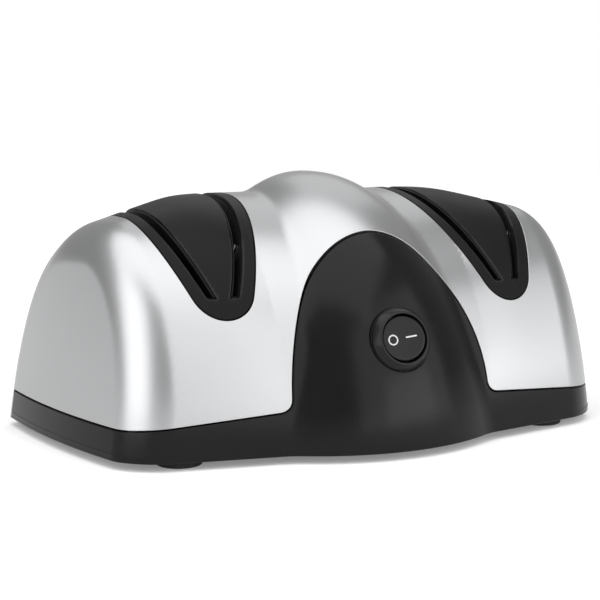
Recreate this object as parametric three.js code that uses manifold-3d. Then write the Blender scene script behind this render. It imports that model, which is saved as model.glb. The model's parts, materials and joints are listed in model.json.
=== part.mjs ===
// Electric knife sharpener with two grinding stages, as an assembly of separate pieces.
// Millimetres, +Z up, +X to the right and -Y towards the user. The origin is on the worktop under the middle.
//
// A silver upper shell with two swept wings and a centre dome sits on a black lower housing, whose front
// rises into an arch that carries the round rocker switch. A black insert in each wing has two knife
// slots, tilted into a V, on either side of a grinding wheel. Both wheels ride on the shaft of a
// shaded-pole motor in the middle.
import * as THREE from "three";
import { mergeVertices } from "three/addons/utils/BufferGeometryUtils.js";
import Module from "manifold-3d";

const wasm = await Module();
wasm.setup();

// Overall form
const halfLength = 116.2;
const depth = 124;
const footHeight = 3;
const wingTop = 92.3;
const domeTop = 100.5;
const wall = 2.5;
const seamGap = 0.5;
const fitGap = 0.3;
const shaftFit = 0.1;
const overrun = 30;

// Wings: an arch from front to rear that falls away past a knee and is closed by leaning ends
const kneeX = 57;
const kneeSoftness = 3;
const wingFallShare = 0.25;
const creaseX = 43;
const wingFrontSetback = 12.4;
const wingSweepShare = 0.189;
const wingRidgeSetback = 34.6;
const ridgeSweepShare = 0.386;
const endTaper = 24.7;
const endLean = 12;
const endBow = 0.1;
const cornerRadius = 13;
const rearCornerRadius = 4;
const cornerFade = 25;

// Centre dome
const domeRidgeSetback = 40.4;
const domeBaseHalf = 80;
const domeTopHalf = 57;

// Exponents of the arches' outlines
const wingRiseShare = 2;
const domeRiseShare = 1.85;
const frontShare = 2;
const wingRearShare = 3.5;
const domeRearShare = 4;

// Seam between the silver shell and the black housing, seen from the front
const bandEndZ = 14.6;
const bandCreaseZ = 19.2;
const bandCornerInset = 18.2;
const archHalf = 41.5;
const archFootZ = 20;
const archTopZ = 80.7;
const archShare = 1.92;
const seamFillet = 4;
const rearStrip = 5;
const archDepth = 67;

// Slot inserts
const insertX = 60.5;
const insertBottomZ = 51.5;
const insertRadius = 12.5;
const slotTiltDeg = 23;
const slotWidth = 3.7;
const slotFlareShare = 0.02;
const slotFloorZ = 59;
const slotOffset = 4.1;
const guideWall = 1.5;
const flangeReach = 3;
const flangeThickness = 1.5;
const railOffset = 0.65;
const railThickness = 0.6;
const railDrop = 0.6;

// Blade springs
const springThickness = 0.5;
const springWidth = 7;
const springLength = 46;
const springLead = 20.5;
const springToeDeg = 2;
const springLift = 10.5;

// Drive line, with the wheels between the slots
const shaftSetback = 53.5;
const shaftZ = 40;
const shaftRadius = 3;
const wheelRadius = 25;
const wheelThickness = 6.6;
const wheelChamfer = 0.8;
const wheelRoom = 1.6;
const collarRadius = 8;
const collarLength = 7;
const washerRadius = 9;
const washerThickness = 1.6;
const nutAcross = 10;
const nutThickness = 5;
const shaftTip = 2;

// Motor
const stackHalf = 12;
const poleHalf = 23;
const rotorRadius = 14.5;
const airGap = 0.5;
const armHeight = 10;
const armReach = 7;
const legThickness = 9;
const bobbinWall = 1.2;
const coilBuild = 5;
const rotorRingLength = 2;
const rotorRingRadius = 12;
const bracketThickness = 2.5;
const bracketStandoff = 5;
const bracketHalf = 22;
const bracketFootLength = 12;
const bushRadius = 6;
const bushLength = 7;
const bossRadius = 9;
const tieRadius = 2;
const tieInset = 4.5;
const tieHeadRadius = 3.6;
const tieHeadThickness = 2.4;
const spacerRadius = 3.6;
const fanRadius = 19;
const fanHubRadius = 7;
const fanWidth = 9;
const fanPlate = 1.5;
const fanBladeThickness = 1.2;
const fanBlades = 8;

// Lower housing
const floorThickness = 2.5;
const motorFootZ = 12;
const postRadius = 4.5;
const grommetThickness = 1.8;
const ventWidth = 2.6;
const ventLength = 34;
const ventPitch = 6;
const ventCount = 7;
const padWall = 2.2;

// Screws and feet
const screwRadius = 1.6;
const screwHeadRadius = 3.2;
const screwHeadThickness = 2;
const screwLength = 12;
const motorScrewLength = 8;
const headWell = 2.4;
const caseScrewInset = 23.2;
const caseScrewFrontInset = 40;
const caseScrewRearInset = 16;
const caseBossRadius = 4;
const footRadius = 8.5;
const footStemRadius = 3;
const footInset = 38.2;
const footFrontInset = 32;
const footRearInset = 20;

// Rocker switch, leaning back with the arch it sits in
const switchSetback = 8.8;
const switchZ = 43;
const switchLeanDeg = 18;
const bezelRadius = 12;
const bezelHeight = 3.3;
const bezelRimRadius = 9.9;
const switchPadMargin = 0.6;
const switchBodyRadius = 9.8;
const switchBodyDepth = 13;
const switchWellRadius = 9.1;
const switchWellDepth = 3.6;
const rockerRadius = 8.4;
const rockerDepth = 2.4;
const rockerRise = 3.4;
const rockerDish = 0.5;
const rockerTiltDeg = 8;
const terminalWidth = 6.3;
const terminalThickness = 0.8;
const terminalLength = 9;
const terminalOffset = 5;

// Wiring and inlet
const leadRadius = 1.1;
const leadPitch = 3.2;
const leadDrop = 4;
const leadLaneX = 42;
const glandRadius = 6;
const glandFlangeRadius = 8.5;
const glandFlange = 2;
const glandLength = 8;
const glandBore = 3.6;
const glandZ = 20;
const glandX = 34;

// Places that follow from the sizes above
const rearY = depth / 2;
const frontY = -depth / 2;
const bandCornerX = halfLength - bandCornerInset;
const wingFrontY = frontY + wingFrontSetback;
const wingRidgeY = rearY - wingRidgeSetback;
const domeRidgeY = rearY - domeRidgeSetback;
const shaftY = rearY - shaftSetback;
const legNearY = shaftY + poleHalf + armReach;
const switchY = frontY + switchSetback;
const floorTop = footHeight + floorThickness;
const wingHeight = wingTop - footHeight;
const domeHeight = domeTop - footHeight;
const slotTilt = THREE.MathUtils.degToRad(slotTiltDeg);
const slotSlope = Math.tan(slotTilt);
const switchLean = THREE.MathUtils.degToRad(switchLeanDeg);
const wheelSide = wheelThickness / 2;
const fineSides = 24;
const roundSides = 12;

// Solids

function solid(geometry) {
  const bare = geometry.index ? geometry.toNonIndexed() : geometry.clone();
  bare.deleteAttribute("normal");
  bare.deleteAttribute("uv");
  const merged = mergeVertices(bare, 1e-4);
  return new wasm.Manifold(
    new wasm.Mesh({
      numProp: 3,
      vertProperties: new Float32Array(merged.attributes.position.array),
      triVerts: new Uint32Array(merged.index.array),
    }),
  );
}

function geometryOf(body) {
  const mesh = body.getMesh();
  const positions = new Float32Array(mesh.numVert * 3);
  for (let i = 0; i < mesh.numVert; i++) {
    positions.set(mesh.vertProperties.subarray(i * mesh.numProp, i * mesh.numProp + 3), i * 3);
  }
  const geometry = new THREE.BufferGeometry();
  geometry.setAttribute("position", new THREE.BufferAttribute(positions, 3));
  geometry.setIndex(new THREE.BufferAttribute(new Uint32Array(mesh.triVerts), 1));
  geometry.computeVertexNormals();
  return geometry;
}

function joined(bodies) {
  return bodies.reduce((whole, body) => whole.add(body));
}

function block(x0, x1, y0, y1, z0, z1) {
  const geometry = new THREE.BoxGeometry(x1 - x0, y1 - y0, z1 - z0);
  return solid(geometry.translate((x0 + x1) / 2, (y0 + y1) / 2, (z0 + z1) / 2));
}

// A turned solid from a closed profile of [radius, height] pairs. The height runs up along z, to the
// right along x, or towards the user along y.
function turned(profile, sides, axis = "z") {
  const points = profile.map(([r, h]) => new THREE.Vector2(r, h));
  points.push(points[0].clone());
  const geometry = new THREE.LatheGeometry(points, sides);
  geometry.rotateX(Math.PI / 2);
  if (axis === "x") geometry.rotateY(Math.PI / 2);
  if (axis === "y") geometry.rotateX(Math.PI / 2);
  return solid(geometry);
}

function rod(radius, from, to, sides, axis = "z") {
  return turned([[0, from], [radius, from], [radius, to], [0, to]], sides, axis);
}

function tube(outer, inner, from, to, sides, axis = "z") {
  return turned([[inner, from], [outer, from], [outer, to], [inner, to]], sides, axis);
}

// An outline in the XZ plane, as [x, z] pairs, pulled from y0 to y1.
function frontPrism(outline, y0, y1) {
  const shape = new THREE.Shape(outline.map(([x, z]) => new THREE.Vector2(x, z)));
  const geometry = new THREE.ExtrudeGeometry(shape, { depth: y1 - y0, bevelEnabled: false });
  geometry.rotateX(Math.PI / 2);
  return solid(geometry.translate(0, y1, 0));
}

// Outer form, as distances that are negative inside

function archDistance(y, z, ridgeY, frontReach, rearReach, height) {
  const ahead = y < ridgeY;
  const reach = ahead ? frontReach : rearReach;
  const power = ahead ? frontShare : wingRearShare;
  const t = Math.max(z - footHeight, 0) / height;
  const s = Math.abs(y - ridgeY) / reach;
  const dz = (wingRiseShare * t ** (wingRiseShare - 1)) / height;
  const dy = (power * s ** (power - 1)) / reach;
  return (t ** wingRiseShare + s ** power - 1) / Math.hypot(dy, dz);
}

function wingRidgeHeight(reach) {
  const fall = kneeSoftness * Math.log(1 + Math.exp((reach - kneeX) / kneeSoftness));
  return wingHeight - wingFallShare * fall;
}

function wingFront(reach) {
  return wingFrontY + wingSweepShare * (reach - creaseX);
}

function wingRidge(reach) {
  return wingRidgeY - ridgeSweepShare * Math.max(reach - creaseX, 0);
}

function roundedIntersection(a, b, radius) {
  const inside = Math.min(Math.max(a + radius, b + radius), 0);
  return inside + Math.hypot(Math.max(a + radius, 0), Math.max(b + radius, 0)) - radius;
}

function wingDistance(x, y, z) {
  const reach = Math.abs(x);
  const ridgeY = wingRidge(reach);
  const frontReach = ridgeY - wingFront(reach);
  const arch = archDistance(y, z, ridgeY, frontReach, rearY - ridgeY, wingRidgeHeight(reach));
  const t = (z - footHeight) / wingHeight;
  const endX = halfLength - endTaper * ((rearY - y) / depth) ** 2 - endLean * t - endBow * t * t;
  const slope = (endLean + 2 * endBow * t) / wingHeight;
  const fade = THREE.MathUtils.clamp((rearY - y) / cornerFade, 0, 1);
  const radius = rearCornerRadius + (cornerRadius - rearCornerRadius) * fade;
  return roundedIntersection(arch, (reach - endX) / Math.hypot(1, slope), radius);
}

function domeDistance(x, y, z) {
  const ahead = y < domeRidgeY;
  const reach = ahead ? domeRidgeY - frontY : rearY - domeRidgeY;
  const power = ahead ? frontShare : domeRearShare;
  const t = Math.max(z - footHeight, 0) / domeHeight;
  const s = Math.abs(y - domeRidgeY) / reach;
  const half = domeBaseHalf + (domeTopHalf - domeBaseHalf) * t;
  const dx = (2 * x) / half ** 2;
  const dy = (power * s ** (power - 1)) / reach;
  const dz = (domeRiseShare * t ** (domeRiseShare - 1)) / domeHeight;
  return (t ** domeRiseShare + s ** power + (x / half) ** 2 - 1) / Math.hypot(dx, dy, dz);
}

// The point at which the surface at a level is met from the middle of the base towards a target.
function surfacePoint(distance, level, target) {
  let low = 0;
  let high = 2;
  const at = (share) => [target[0] * share, target[1] * share, footHeight + target[2] * share];
  for (let i = 0; i < 40; i++) {
    const middle = (low + high) / 2;
    if (distance(...at(middle)) < level) low = middle;
    else high = middle;
  }
  return at(low);
}

// A closed body whose surface lies at a level of a distance. Rays from the middle of the base go through
// a grid on a half box, and the foot of the wall drops straight down by a length.
function levelBody(distance, level, drop, half, xShares, yShares, zShares) {
  const nx = xShares.length - 1;
  const ny = yShares.length - 1;
  const rim = [];
  for (let i = 0; i < nx; i++) rim.push([xShares[i], -1]);
  for (let j = 0; j < ny; j++) rim.push([1, yShares[j]]);
  for (let i = nx; i > 0; i--) rim.push([xShares[i], 1]);
  for (let j = ny; j > 0; j--) rim.push([-1, yShares[j]]);
  const vertices = [];
  const faces = [];
  const cast = (u, v, w) => {
    const target = [u * half[0], v * half[1], w * half[2]];
    return vertices.push(surfacePoint(distance, level, target)) - 1;
  };
  const rings = zShares.map((w) => rim.map(([u, v]) => cast(u, v, w)));
  if (drop > 0) {
    const foot = rings[0].map((index) => {
      const [x, y, z] = vertices[index];
      return vertices.push([x, y, z - drop]) - 1;
    });
    rings.unshift(foot);
  }
  const quad = (a, b, c, d) => faces.push([a, b, c], [a, c, d]);
  for (let k = 0; k + 1 < rings.length; k++) {
    for (let i = 0; i < rim.length; i++) {
      const j = (i + 1) % rim.length;
      quad(rings[k][i], rings[k][j], rings[k + 1][j], rings[k + 1][i]);
    }
  }
  const last = rings[rings.length - 1];
  const corner = { front: 0, right: nx, rear: nx + ny, left: 2 * nx + ny };
  const top = xShares.map((u, i) =>
    yShares.map((v, j) => {
      if (j === 0) return last[corner.front + i];
      if (j === ny) return last[corner.rear + nx - i];
      if (i === 0) return last[(corner.left + ny - j) % rim.length];
      if (i === nx) return last[corner.right + j];
      return cast(u, v, 1);
    }),
  );
  for (let i = 0; i < nx; i++) {
    for (let j = 0; j < ny; j++) quad(top[i][j], top[i + 1][j], top[i + 1][j + 1], top[i][j + 1]);
  }
  const middle = vertices.push([0, 0, footHeight - drop]) - 1;
  for (let i = 0; i < rim.length; i++) faces.push([rings[0][(i + 1) % rim.length], rings[0][i], middle]);
  const geometry = new THREE.BufferGeometry();
  geometry.setAttribute("position", new THREE.BufferAttribute(new Float32Array(vertices.flat()), 3));
  geometry.setIndex(faces.flat());
  return solid(geometry);
}

const mirroredShares = (shares) => [...shares.map((s) => -s).reverse(), 0, ...shares];
const wingXShares = mirroredShares([0.17, 0.33, 0.47, 0.6, 0.73, 0.85, 0.94, 1]);
const wingYShares = [-1, -0.84, -0.66, -0.46, -0.24, 0, 0.24, 0.46, 0.66, 0.83, 0.94, 1];
const wingZShares = [0, 0.16, 0.33, 0.5, 0.65, 0.78, 0.89, 1];
const domeXShares = mirroredShares([0.13, 0.27, 0.42, 0.62, 1]);
const domeYShares = [-1, -0.7, -0.4, -0.1, 0.2, 0.5, 0.75, 0.9, 1];
const domeZShares = [0, 0.18, 0.36, 0.54, 0.7, 0.84, 0.94, 1];

const levelBodies = new Map();

function bodyAt(level, drop = 0) {
  const key = `${level} ${drop}`;
  if (!levelBodies.has(key)) {
    const wingBox = [halfLength, rearY, wingHeight];
    const domeBox = [domeTopHalf, rearY, domeHeight];
    const wings = levelBody(wingDistance, level, drop, wingBox, wingXShares, wingYShares, wingZShares);
    const dome = levelBody(domeDistance, level, drop, domeBox, domeXShares, domeYShares, domeZShares);
    levelBodies.set(key, wings.add(dome));
  }
  return levelBodies.get(key);
}

// Seam outline, seen from the front

function bandLine(x) {
  const reach = Math.min(Math.max(Math.abs(x), creaseX), bandCornerX);
  return bandCreaseZ + ((bandEndZ - bandCreaseZ) * (reach - creaseX)) / (bandCornerX - creaseX);
}

function archPoint(angle) {
  const rise = archTopZ - archFootZ;
  const c = Math.cos(angle) ** (2 / archShare);
  const s = Math.sin(angle) ** (2 / archShare);
  return [archHalf * c, archFootZ + rise * s];
}

// The right half of the seam, from the far end to the top of the arch. The silver shell's corner between
// the band and the arch is rounded. An outward shift moves the line up and away from the black housing.
function halfSeam(shift) {
  const radius = seamFillet - shift;
  const grade = Math.atan2(bandCreaseZ - bandEndZ, bandCornerX - creaseX);
  const centreAt = (angle) => {
    const [x, z] = archPoint(angle);
    const [nx, nz] = archPoint(angle + 1e-3);
    const length = Math.hypot(nx - x, nz - z);
    return [x + ((nz - z) / length) * seamFillet, z - ((nx - x) / length) * seamFillet];
  };
  let low = 1e-3;
  let high = Math.PI / 3;
  for (let i = 0; i < 40; i++) {
    const middle = (low + high) / 2;
    const [x, z] = centreAt(middle);
    if (z < bandLine(x) + seamFillet / Math.cos(grade)) low = middle;
    else high = middle;
  }
  const [cx, cz] = centreAt(high);
  const [ax, az] = archPoint(high);
  const arcEnd = Math.atan2(az - cz, ax - cx);
  const arcStart = -Math.PI / 2 - grade;
  const points = [];
  const beyond = halfLength + overrun;
  points.push([beyond, bandEndZ + shift], [bandCornerX, bandEndZ + shift]);
  const arcSteps = 5;
  const sweep = arcEnd > 0 ? arcEnd - 2 * Math.PI - arcStart : arcEnd - arcStart;
  for (let i = 0; i <= arcSteps; i++) {
    const angle = arcStart + (sweep * i) / arcSteps;
    points.push([cx + radius * Math.cos(angle), cz + radius * Math.sin(angle)]);
  }
  const archSteps = 14;
  for (let i = 1; i <= archSteps; i++) {
    const angle = high + ((Math.PI / 2 - high) * i) / archSteps;
    const [x, z] = archPoint(Math.min(angle, Math.PI / 2));
    const [nx, nz] = archPoint(Math.min(angle + 1e-3, Math.PI / 2));
    const [px, pz] = archPoint(angle - 1e-3);
    const length = Math.hypot(nx - px, nz - pz);
    points.push([Math.max(x + ((nz - pz) / length) * shift, 0), z - ((nx - px) / length) * shift]);
  }
  return points;
}

function seamOutline(shift) {
  const right = halfSeam(shift);
  const left = right.slice(0, -1).reverse().map(([x, z]) => [-x, z]);
  const low = footHeight - overrun;
  const beyond = halfLength + overrun;
  return [[-beyond, low], [beyond, low], ...right, ...left];
}

function bandOutline(shift) {
  const beyond = halfLength + overrun;
  const low = footHeight - overrun;
  const line = [beyond, bandCornerX, creaseX].map((x) => [x, bandLine(x) + shift]);
  return [[-beyond, low], [beyond, low], ...line, ...line.slice().reverse().map(([x, z]) => [-x, z])];
}

// The space of the black housing: the band along the front and ends, and the arch at the front.
function blackRegion(shift) {
  const front = frontPrism(seamOutline(shift), frontY - overrun, frontY + archDepth);
  const ends = frontPrism(bandOutline(shift), frontY - overrun, rearY - rearStrip + shift);
  return front.add(ends);
}

// The V of a slot insert, seen from the front: straight sides that run up from a round bottom.
function insertOutline(centreX, shift) {
  const radius = insertRadius + shift;
  const centreZ = insertBottomZ + insertRadius;
  const steps = 12;
  const points = [];
  const topZ = domeTop + overrun;
  for (let i = 0; i <= steps; i++) {
    const angle = -Math.PI + slotTilt + ((Math.PI - 2 * slotTilt) * i) / steps;
    points.push([centreX + radius * Math.cos(angle), centreZ + radius * Math.sin(angle)]);
  }
  const [x, z] = points[steps];
  const spread = x - centreX + (topZ - z) * slotSlope;
  points.push([centreX + spread, topZ], [centreX - spread, topZ]);
  return points;
}

// The centre line of a slot leans away from the wheel as it rises, and the slot widens a little. Side is -1
// or 1 from the insert's middle. A slab lies between two offsets from that line and between two heights.
function slotSlab(mirror, side, from, to, z0, z1, y0, y1) {
  const corner = (offset, z) => {
    const rise = z - slotFloorZ;
    const flare = Math.sign(offset) * slotFlareShare * rise;
    return [mirror * (insertX + side * (slotOffset + rise * slotSlope + offset + flare)), z];
  };
  return frontPrism([corner(from, z0), corner(to, z0), corner(to, z1), corner(from, z1)], y0, y1);
}

// Pieces

const materials = {
  silver: { color: 0xb9bcbf, roughness: 0.32, metalness: 0.55 },
  black: { color: 0x1c1c1d, roughness: 0.45, metalness: 0 },
  satin: { color: 0x2a2a2b, roughness: 0.35, metalness: 0 },
  rubber: { color: 0x101010, roughness: 0.9, metalness: 0 },
  steel: { color: 0xa8aaad, roughness: 0.3, metalness: 1 },
  spring: { color: 0xd8dadc, roughness: 0.18, metalness: 1 },
  core: { color: 0x6d7072, roughness: 0.5, metalness: 0.9 },
  copper: { color: 0xb5562a, roughness: 0.4, metalness: 0.8 },
  brass: { color: 0xc2a050, roughness: 0.3, metalness: 1 },
  coarse: { color: 0x5d6a66, roughness: 0.95, metalness: 0 },
  fine: { color: 0xe4e0d6, roughness: 0.85, metalness: 0 },
  nylon: { color: 0xdedccf, roughness: 0.5, metalness: 0 },
  blue: { color: 0x1b3f8f, roughness: 0.5, metalness: 0 },
  brown: { color: 0x5a3219, roughness: 0.5, metalness: 0 },
};

const sharpener = new THREE.Group();
const driveLine = new THREE.Group();
driveLine.position.set(0, shaftY, shaftZ);
const switchUnit = new THREE.Group();
switchUnit.position.set(0, switchY, switchZ);
switchUnit.rotation.x = -switchLean;
sharpener.add(driveLine, switchUnit);

function addPiece(name, finish, shape, place = [0, 0, 0], parent = sharpener) {
  const mesh = new THREE.Mesh(geometryOf(shape), new THREE.MeshStandardMaterial(materials[finish]));
  mesh.name = name;
  mesh.position.set(...place);
  parent.add(mesh);
  return mesh;
}

const sides = [
  ["left", -1],
  ["right", 1],
];
const rows = [
  ["front", -1],
  ["rear", 1],
];
const caseScrewX = halfLength - caseScrewInset;
const caseScrewRows = { front: frontY + caseScrewFrontInset, rear: rearY - caseScrewRearInset };
const footX = halfLength - footInset;
const footRows = { front: frontY + footFrontInset, rear: rearY - footRearInset };
const padTop = footHeight + headWell + padWall;
const bracketX = stackHalf + bracketStandoff;
const motorScrewX = bracketX + bracketThickness + bracketFootLength / 2;
const motorScrewY = bracketHalf - postRadius;
const bodySpan = [frontY - overrun, rearY + overrun];

function acrossCorners(visit) {
  for (const [side, mirror] of sides) {
    for (const [row, sign] of rows) visit(side, mirror, row, sign);
  }
}

// The black region's own solids end short of the seam by the seam's gap.
const housingRegion = blackRegion(-seamGap);

// Silver shell, with a screw boss in each corner
function upperShell() {
  let shell = bodyAt(0).subtract(bodyAt(-wall, overrun));
  const inside = bodyAt(-wall / 2);
  acrossCorners((side, mirror, row) => {
    const boss = rod(caseBossRadius, padTop + fitGap, wingTop, roundSides);
    const pilot = rod(screwRadius + shaftFit, footHeight, padTop + screwLength, roundSides);
    const place = [mirror * caseScrewX, caseScrewRows[row], 0];
    shell = shell.add(boss.translate(place).intersect(inside)).subtract(pilot.translate(place));
  });
  shell = shell.subtract(blackRegion(0));
  for (const [, mirror] of sides) {
    shell = shell.subtract(frontPrism(insertOutline(mirror * insertX, 0), ...bodySpan));
  }
  const glandHole = rod(glandRadius + fitGap, -rearY - overrun, -domeRidgeY, fineSides, "y");
  return shell.subtract(glandHole.translate([glandX, 0, glandZ]));
}

// Black housing: base band, arch panel and floor in one moulding, with motor posts, screw pads, vents, foot
// holes and a round flat pad for the switch
function lowerHousing() {
  const outer = bodyAt(0);
  const reach = halfLength + overrun;
  const floorSlab = block(-reach, reach, ...bodySpan, footHeight, floorTop);
  const floorArea = housingRegion.add(bodyAt(-wall - fitGap));
  let housing = outer.intersect(housingRegion).subtract(bodyAt(-wall, overrun));
  housing = housing.add(outer.intersect(floorSlab).intersect(floorArea));
  acrossCorners((side, mirror, row, sign) => {
    const screwPlace = [mirror * caseScrewX, caseScrewRows[row], 0];
    const padRadius = screwHeadRadius + fitGap + padWall;
    const pad = rod(padRadius, footHeight, padTop, roundSides).translate(screwPlace);
    housing = housing.add(pad.intersect(bodyAt(-wall - fitGap)));
    const well = rod(screwHeadRadius + fitGap, footHeight - overrun, footHeight + headWell, roundSides);
    const hole = rod(screwRadius + fitGap, footHeight, padTop + overrun, roundSides);
    housing = housing.subtract(well.add(hole).translate(screwPlace));
    const postPlace = [mirror * motorScrewX, shaftY + sign * motorScrewY, 0];
    const postTop = motorFootZ - grommetThickness - 2 * fitGap;
    const post = rod(postRadius, footHeight, postTop, roundSides);
    const pilot = rod(screwRadius + shaftFit, floorTop, postTop + overrun, roundSides);
    housing = housing.add(post.translate(postPlace)).subtract(pilot.translate(postPlace));
    const footHole = rod(footStemRadius + fitGap, footHeight - overrun, floorTop + overrun, roundSides);
    housing = housing.subtract(footHole.translate([mirror * footX, footRows[row], 0]));
  });
  for (let i = 0; i < ventCount; i++) {
    const x = (i - (ventCount - 1) / 2) * ventPitch;
    const vent = [x - ventWidth / 2, x + ventWidth / 2, shaftY - ventLength / 2, shaftY + ventLength / 2];
    housing = housing.subtract(block(...vent, footHeight - overrun, floorTop + overrun));
  }
  const padRadius = bezelRadius + switchPadMargin;
  const behind = tube(padRadius, switchBodyRadius + fitGap, -switchBodyDepth / 2, 0, fineSides, "y");
  const ahead = rod(padRadius, 0, overrun, fineSides, "y");
  const hole = rod(switchBodyRadius + fitGap, -overrun, overrun, fineSides, "y");
  const seat = (body) => body.rotate([-switchLeanDeg, 0, 0]).translate([0, switchY, switchZ]);
  return housing.add(seat(behind)).subtract(seat(ahead)).subtract(seat(hole));
}

addPiece("upper_shell", "silver", upperShell());
addPiece("lower_housing", "black", lowerHousing());

// Slot insert: a skin that fills the V in the wing, held from below by a flange under the shell's edge, with
// two slotted channels under it. The room of the wheel opens the channels' inner walls, so that a blade in
// the slot meets the wheel's flat side. A thin rail stands in each slot beside the wall next to the wheel.
function guideInsert(mirror) {
  const flangeTop = -wall - fitGap;
  const window = frontPrism(insertOutline(mirror * insertX, -fitGap), ...bodySpan);
  const seat = frontPrism(insertOutline(mirror * insertX, flangeReach), ...bodySpan);
  const skin = bodyAt(0).intersect(window).add(bodyAt(flangeTop).intersect(seat));
  let insert = skin.subtract(bodyAt(flangeTop - flangeThickness));
  const half = slotWidth / 2;
  const top = wingTop + overrun;
  for (const [, side] of sides) {
    const edge = half + guideWall;
    const channel = slotSlab(mirror, side, -edge, edge, slotFloorZ - guideWall, top, ...bodySpan);
    insert = insert.add(channel.intersect(bodyAt(-wall / 2)));
  }
  for (const [, side] of sides) {
    insert = insert.subtract(slotSlab(mirror, side, -half, half, slotFloorZ, top, ...bodySpan));
    const railFar = -railOffset - railThickness;
    const rail = slotSlab(mirror, side, railFar, -railOffset, slotFloorZ - guideWall / 2, top, ...bodySpan);
    insert = insert.add(rail.intersect(bodyAt(-railDrop)));
  }
  const roomHalf = wheelSide + wheelRoom;
  const room = rod(wheelRadius + wheelRoom, -roomHalf, roomHalf, fineSides, "x");
  return insert.subtract(room.translate([mirror * insertX, shaftY, shaftZ]));
}

// A flat spring lies along the outer wall of each slot. Its front end is rooted in the wall and its rear end
// stands out into the slot, from where a blade presses it back.
function bladeSpring(mirror, side) {
  const z0 = slotFloorZ + springLift;
  const z1 = z0 + springWidth * Math.cos(slotTilt);
  const outer = slotWidth / 2 - fitGap;
  const leaf = slotSlab(mirror, side, outer - springThickness, outer, z0, z1, 0, springLength);
  const root = [mirror * (insertX + side * (slotOffset + springLift * slotSlope + outer)), 0, z0];
  const axis = new THREE.Vector3(mirror * side * Math.sin(slotTilt), 0, Math.cos(slotTilt));
  const turn = THREE.MathUtils.degToRad(springToeDeg) * mirror * side;
  const matrix = new THREE.Matrix4().makeTranslation(...root);
  matrix.multiply(new THREE.Matrix4().makeRotationAxis(axis, turn));
  matrix.multiply(new THREE.Matrix4().makeTranslation(-root[0], 0, -root[2]));
  return leaf.transform(matrix.elements);
}

for (const [name, mirror] of sides) {
  addPiece(`${name}_guide_insert`, "satin", guideInsert(mirror));
  for (const [slot, side] of [["inner", -1], ["outer", 1]]) {
    const root = [0, shaftY - springLead, 0];
    addPiece(`${name}_${slot}_blade_spring`, "spring", bladeSpring(mirror, side), root);
  }
}

// Drive line: one shaft carries the rotor, the fan and both grinding wheels
const wheelOuterX = insertX + wheelSide;
const washerX = wheelOuterX + fitGap;
const nutX = washerX + washerThickness + fitGap;
const shaftHalf = nutX + nutThickness + shaftTip;
const onShaft = (name, finish, shape, place = [0, 0, 0]) => addPiece(name, finish, shape, place, driveLine);

onShaft("motor_shaft", "steel", rod(shaftRadius, -shaftHalf, shaftHalf, fineSides, "x"));
onShaft(
  "rotor_core",
  "core",
  turned(
    [
      [shaftRadius + shaftFit, -stackHalf - rotorRingLength],
      [rotorRingRadius, -stackHalf - rotorRingLength],
      [rotorRingRadius, -stackHalf],
      [rotorRadius, -stackHalf],
      [rotorRadius, stackHalf],
      [rotorRingRadius, stackHalf],
      [rotorRingRadius, stackHalf + rotorRingLength],
      [shaftRadius + shaftFit, stackHalf + rotorRingLength],
    ],
    fineSides,
    "x",
  ),
);

function grindingWheel() {
  const bore = shaftRadius + shaftFit;
  const rim = wheelRadius - wheelChamfer;
  const land = wheelSide - wheelChamfer;
  const profile = [[bore, -wheelSide], [rim, -wheelSide], [wheelRadius, -land], [wheelRadius, land]];
  return turned([...profile, [rim, wheelSide], [bore, wheelSide]], fineSides, "x");
}

function hexNut() {
  const corner = nutAcross / 2 / Math.cos(Math.PI / 6);
  const hex = rod(corner, -nutThickness / 2, nutThickness / 2, 6, "x");
  return hex.subtract(rod(shaftRadius + shaftFit, -nutThickness, nutThickness, fineSides, "x"));
}

for (const [name, mirror] of sides) {
  const grit = name === "left" ? "coarse" : "fine";
  const bore = shaftRadius + shaftFit;
  const collar = tube(collarRadius, bore, -collarLength / 2, collarLength / 2, fineSides, "x");
  const washer = tube(washerRadius, bore, -washerThickness / 2, washerThickness / 2, fineSides, "x");
  const collarX = insertX - wheelSide - fitGap - collarLength / 2;
  onShaft(`${grit}_grinding_wheel`, grit, grindingWheel(), [mirror * insertX, 0, 0]);
  onShaft(`${name}_wheel_collar`, "steel", collar, [mirror * collarX, 0, 0]);
  onShaft(`${name}_wheel_washer`, "steel", washer, [mirror * (washerX + washerThickness / 2), 0, 0]);
  onShaft(`${name}_wheel_nut`, "steel", hexNut(), [mirror * (nutX + nutThickness / 2), 0, 0]);
}

// Fan: a back plate with radial blades, on the right of the motor
const bushEnd = bracketX + bracketThickness + (bushLength - bracketThickness) / 2;
const fanX = bushEnd + 2 * fitGap;

function coolingFan() {
  let fan = rod(fanRadius, 0, fanPlate, fineSides, "x").add(rod(fanHubRadius, 0, fanWidth, fineSides, "x"));
  for (let i = 0; i < fanBlades; i++) {
    const halfBlade = fanBladeThickness / 2;
    const blade = block(0, fanWidth, -halfBlade, halfBlade, (fanHubRadius + shaftRadius) / 2, fanRadius);
    fan = fan.add(blade.rotate([(360 * i) / fanBlades, 0, 0]));
  }
  return fan.subtract(rod(shaftRadius + shaftFit, -overrun, overrun, fineSides, "x"));
}

onShaft("cooling_fan", "nylon", coolingFan(), [fanX, 0, 0]);

// Motor: a laminated core with a coil on its rear leg, between two brackets with sintered bushes
const legFarY = legNearY + legThickness;
const windowHalf = poleHalf - armHeight;
const tieX = bracketX + bracketThickness + fitGap;
const tieReach = poleHalf - tieInset;

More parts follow.
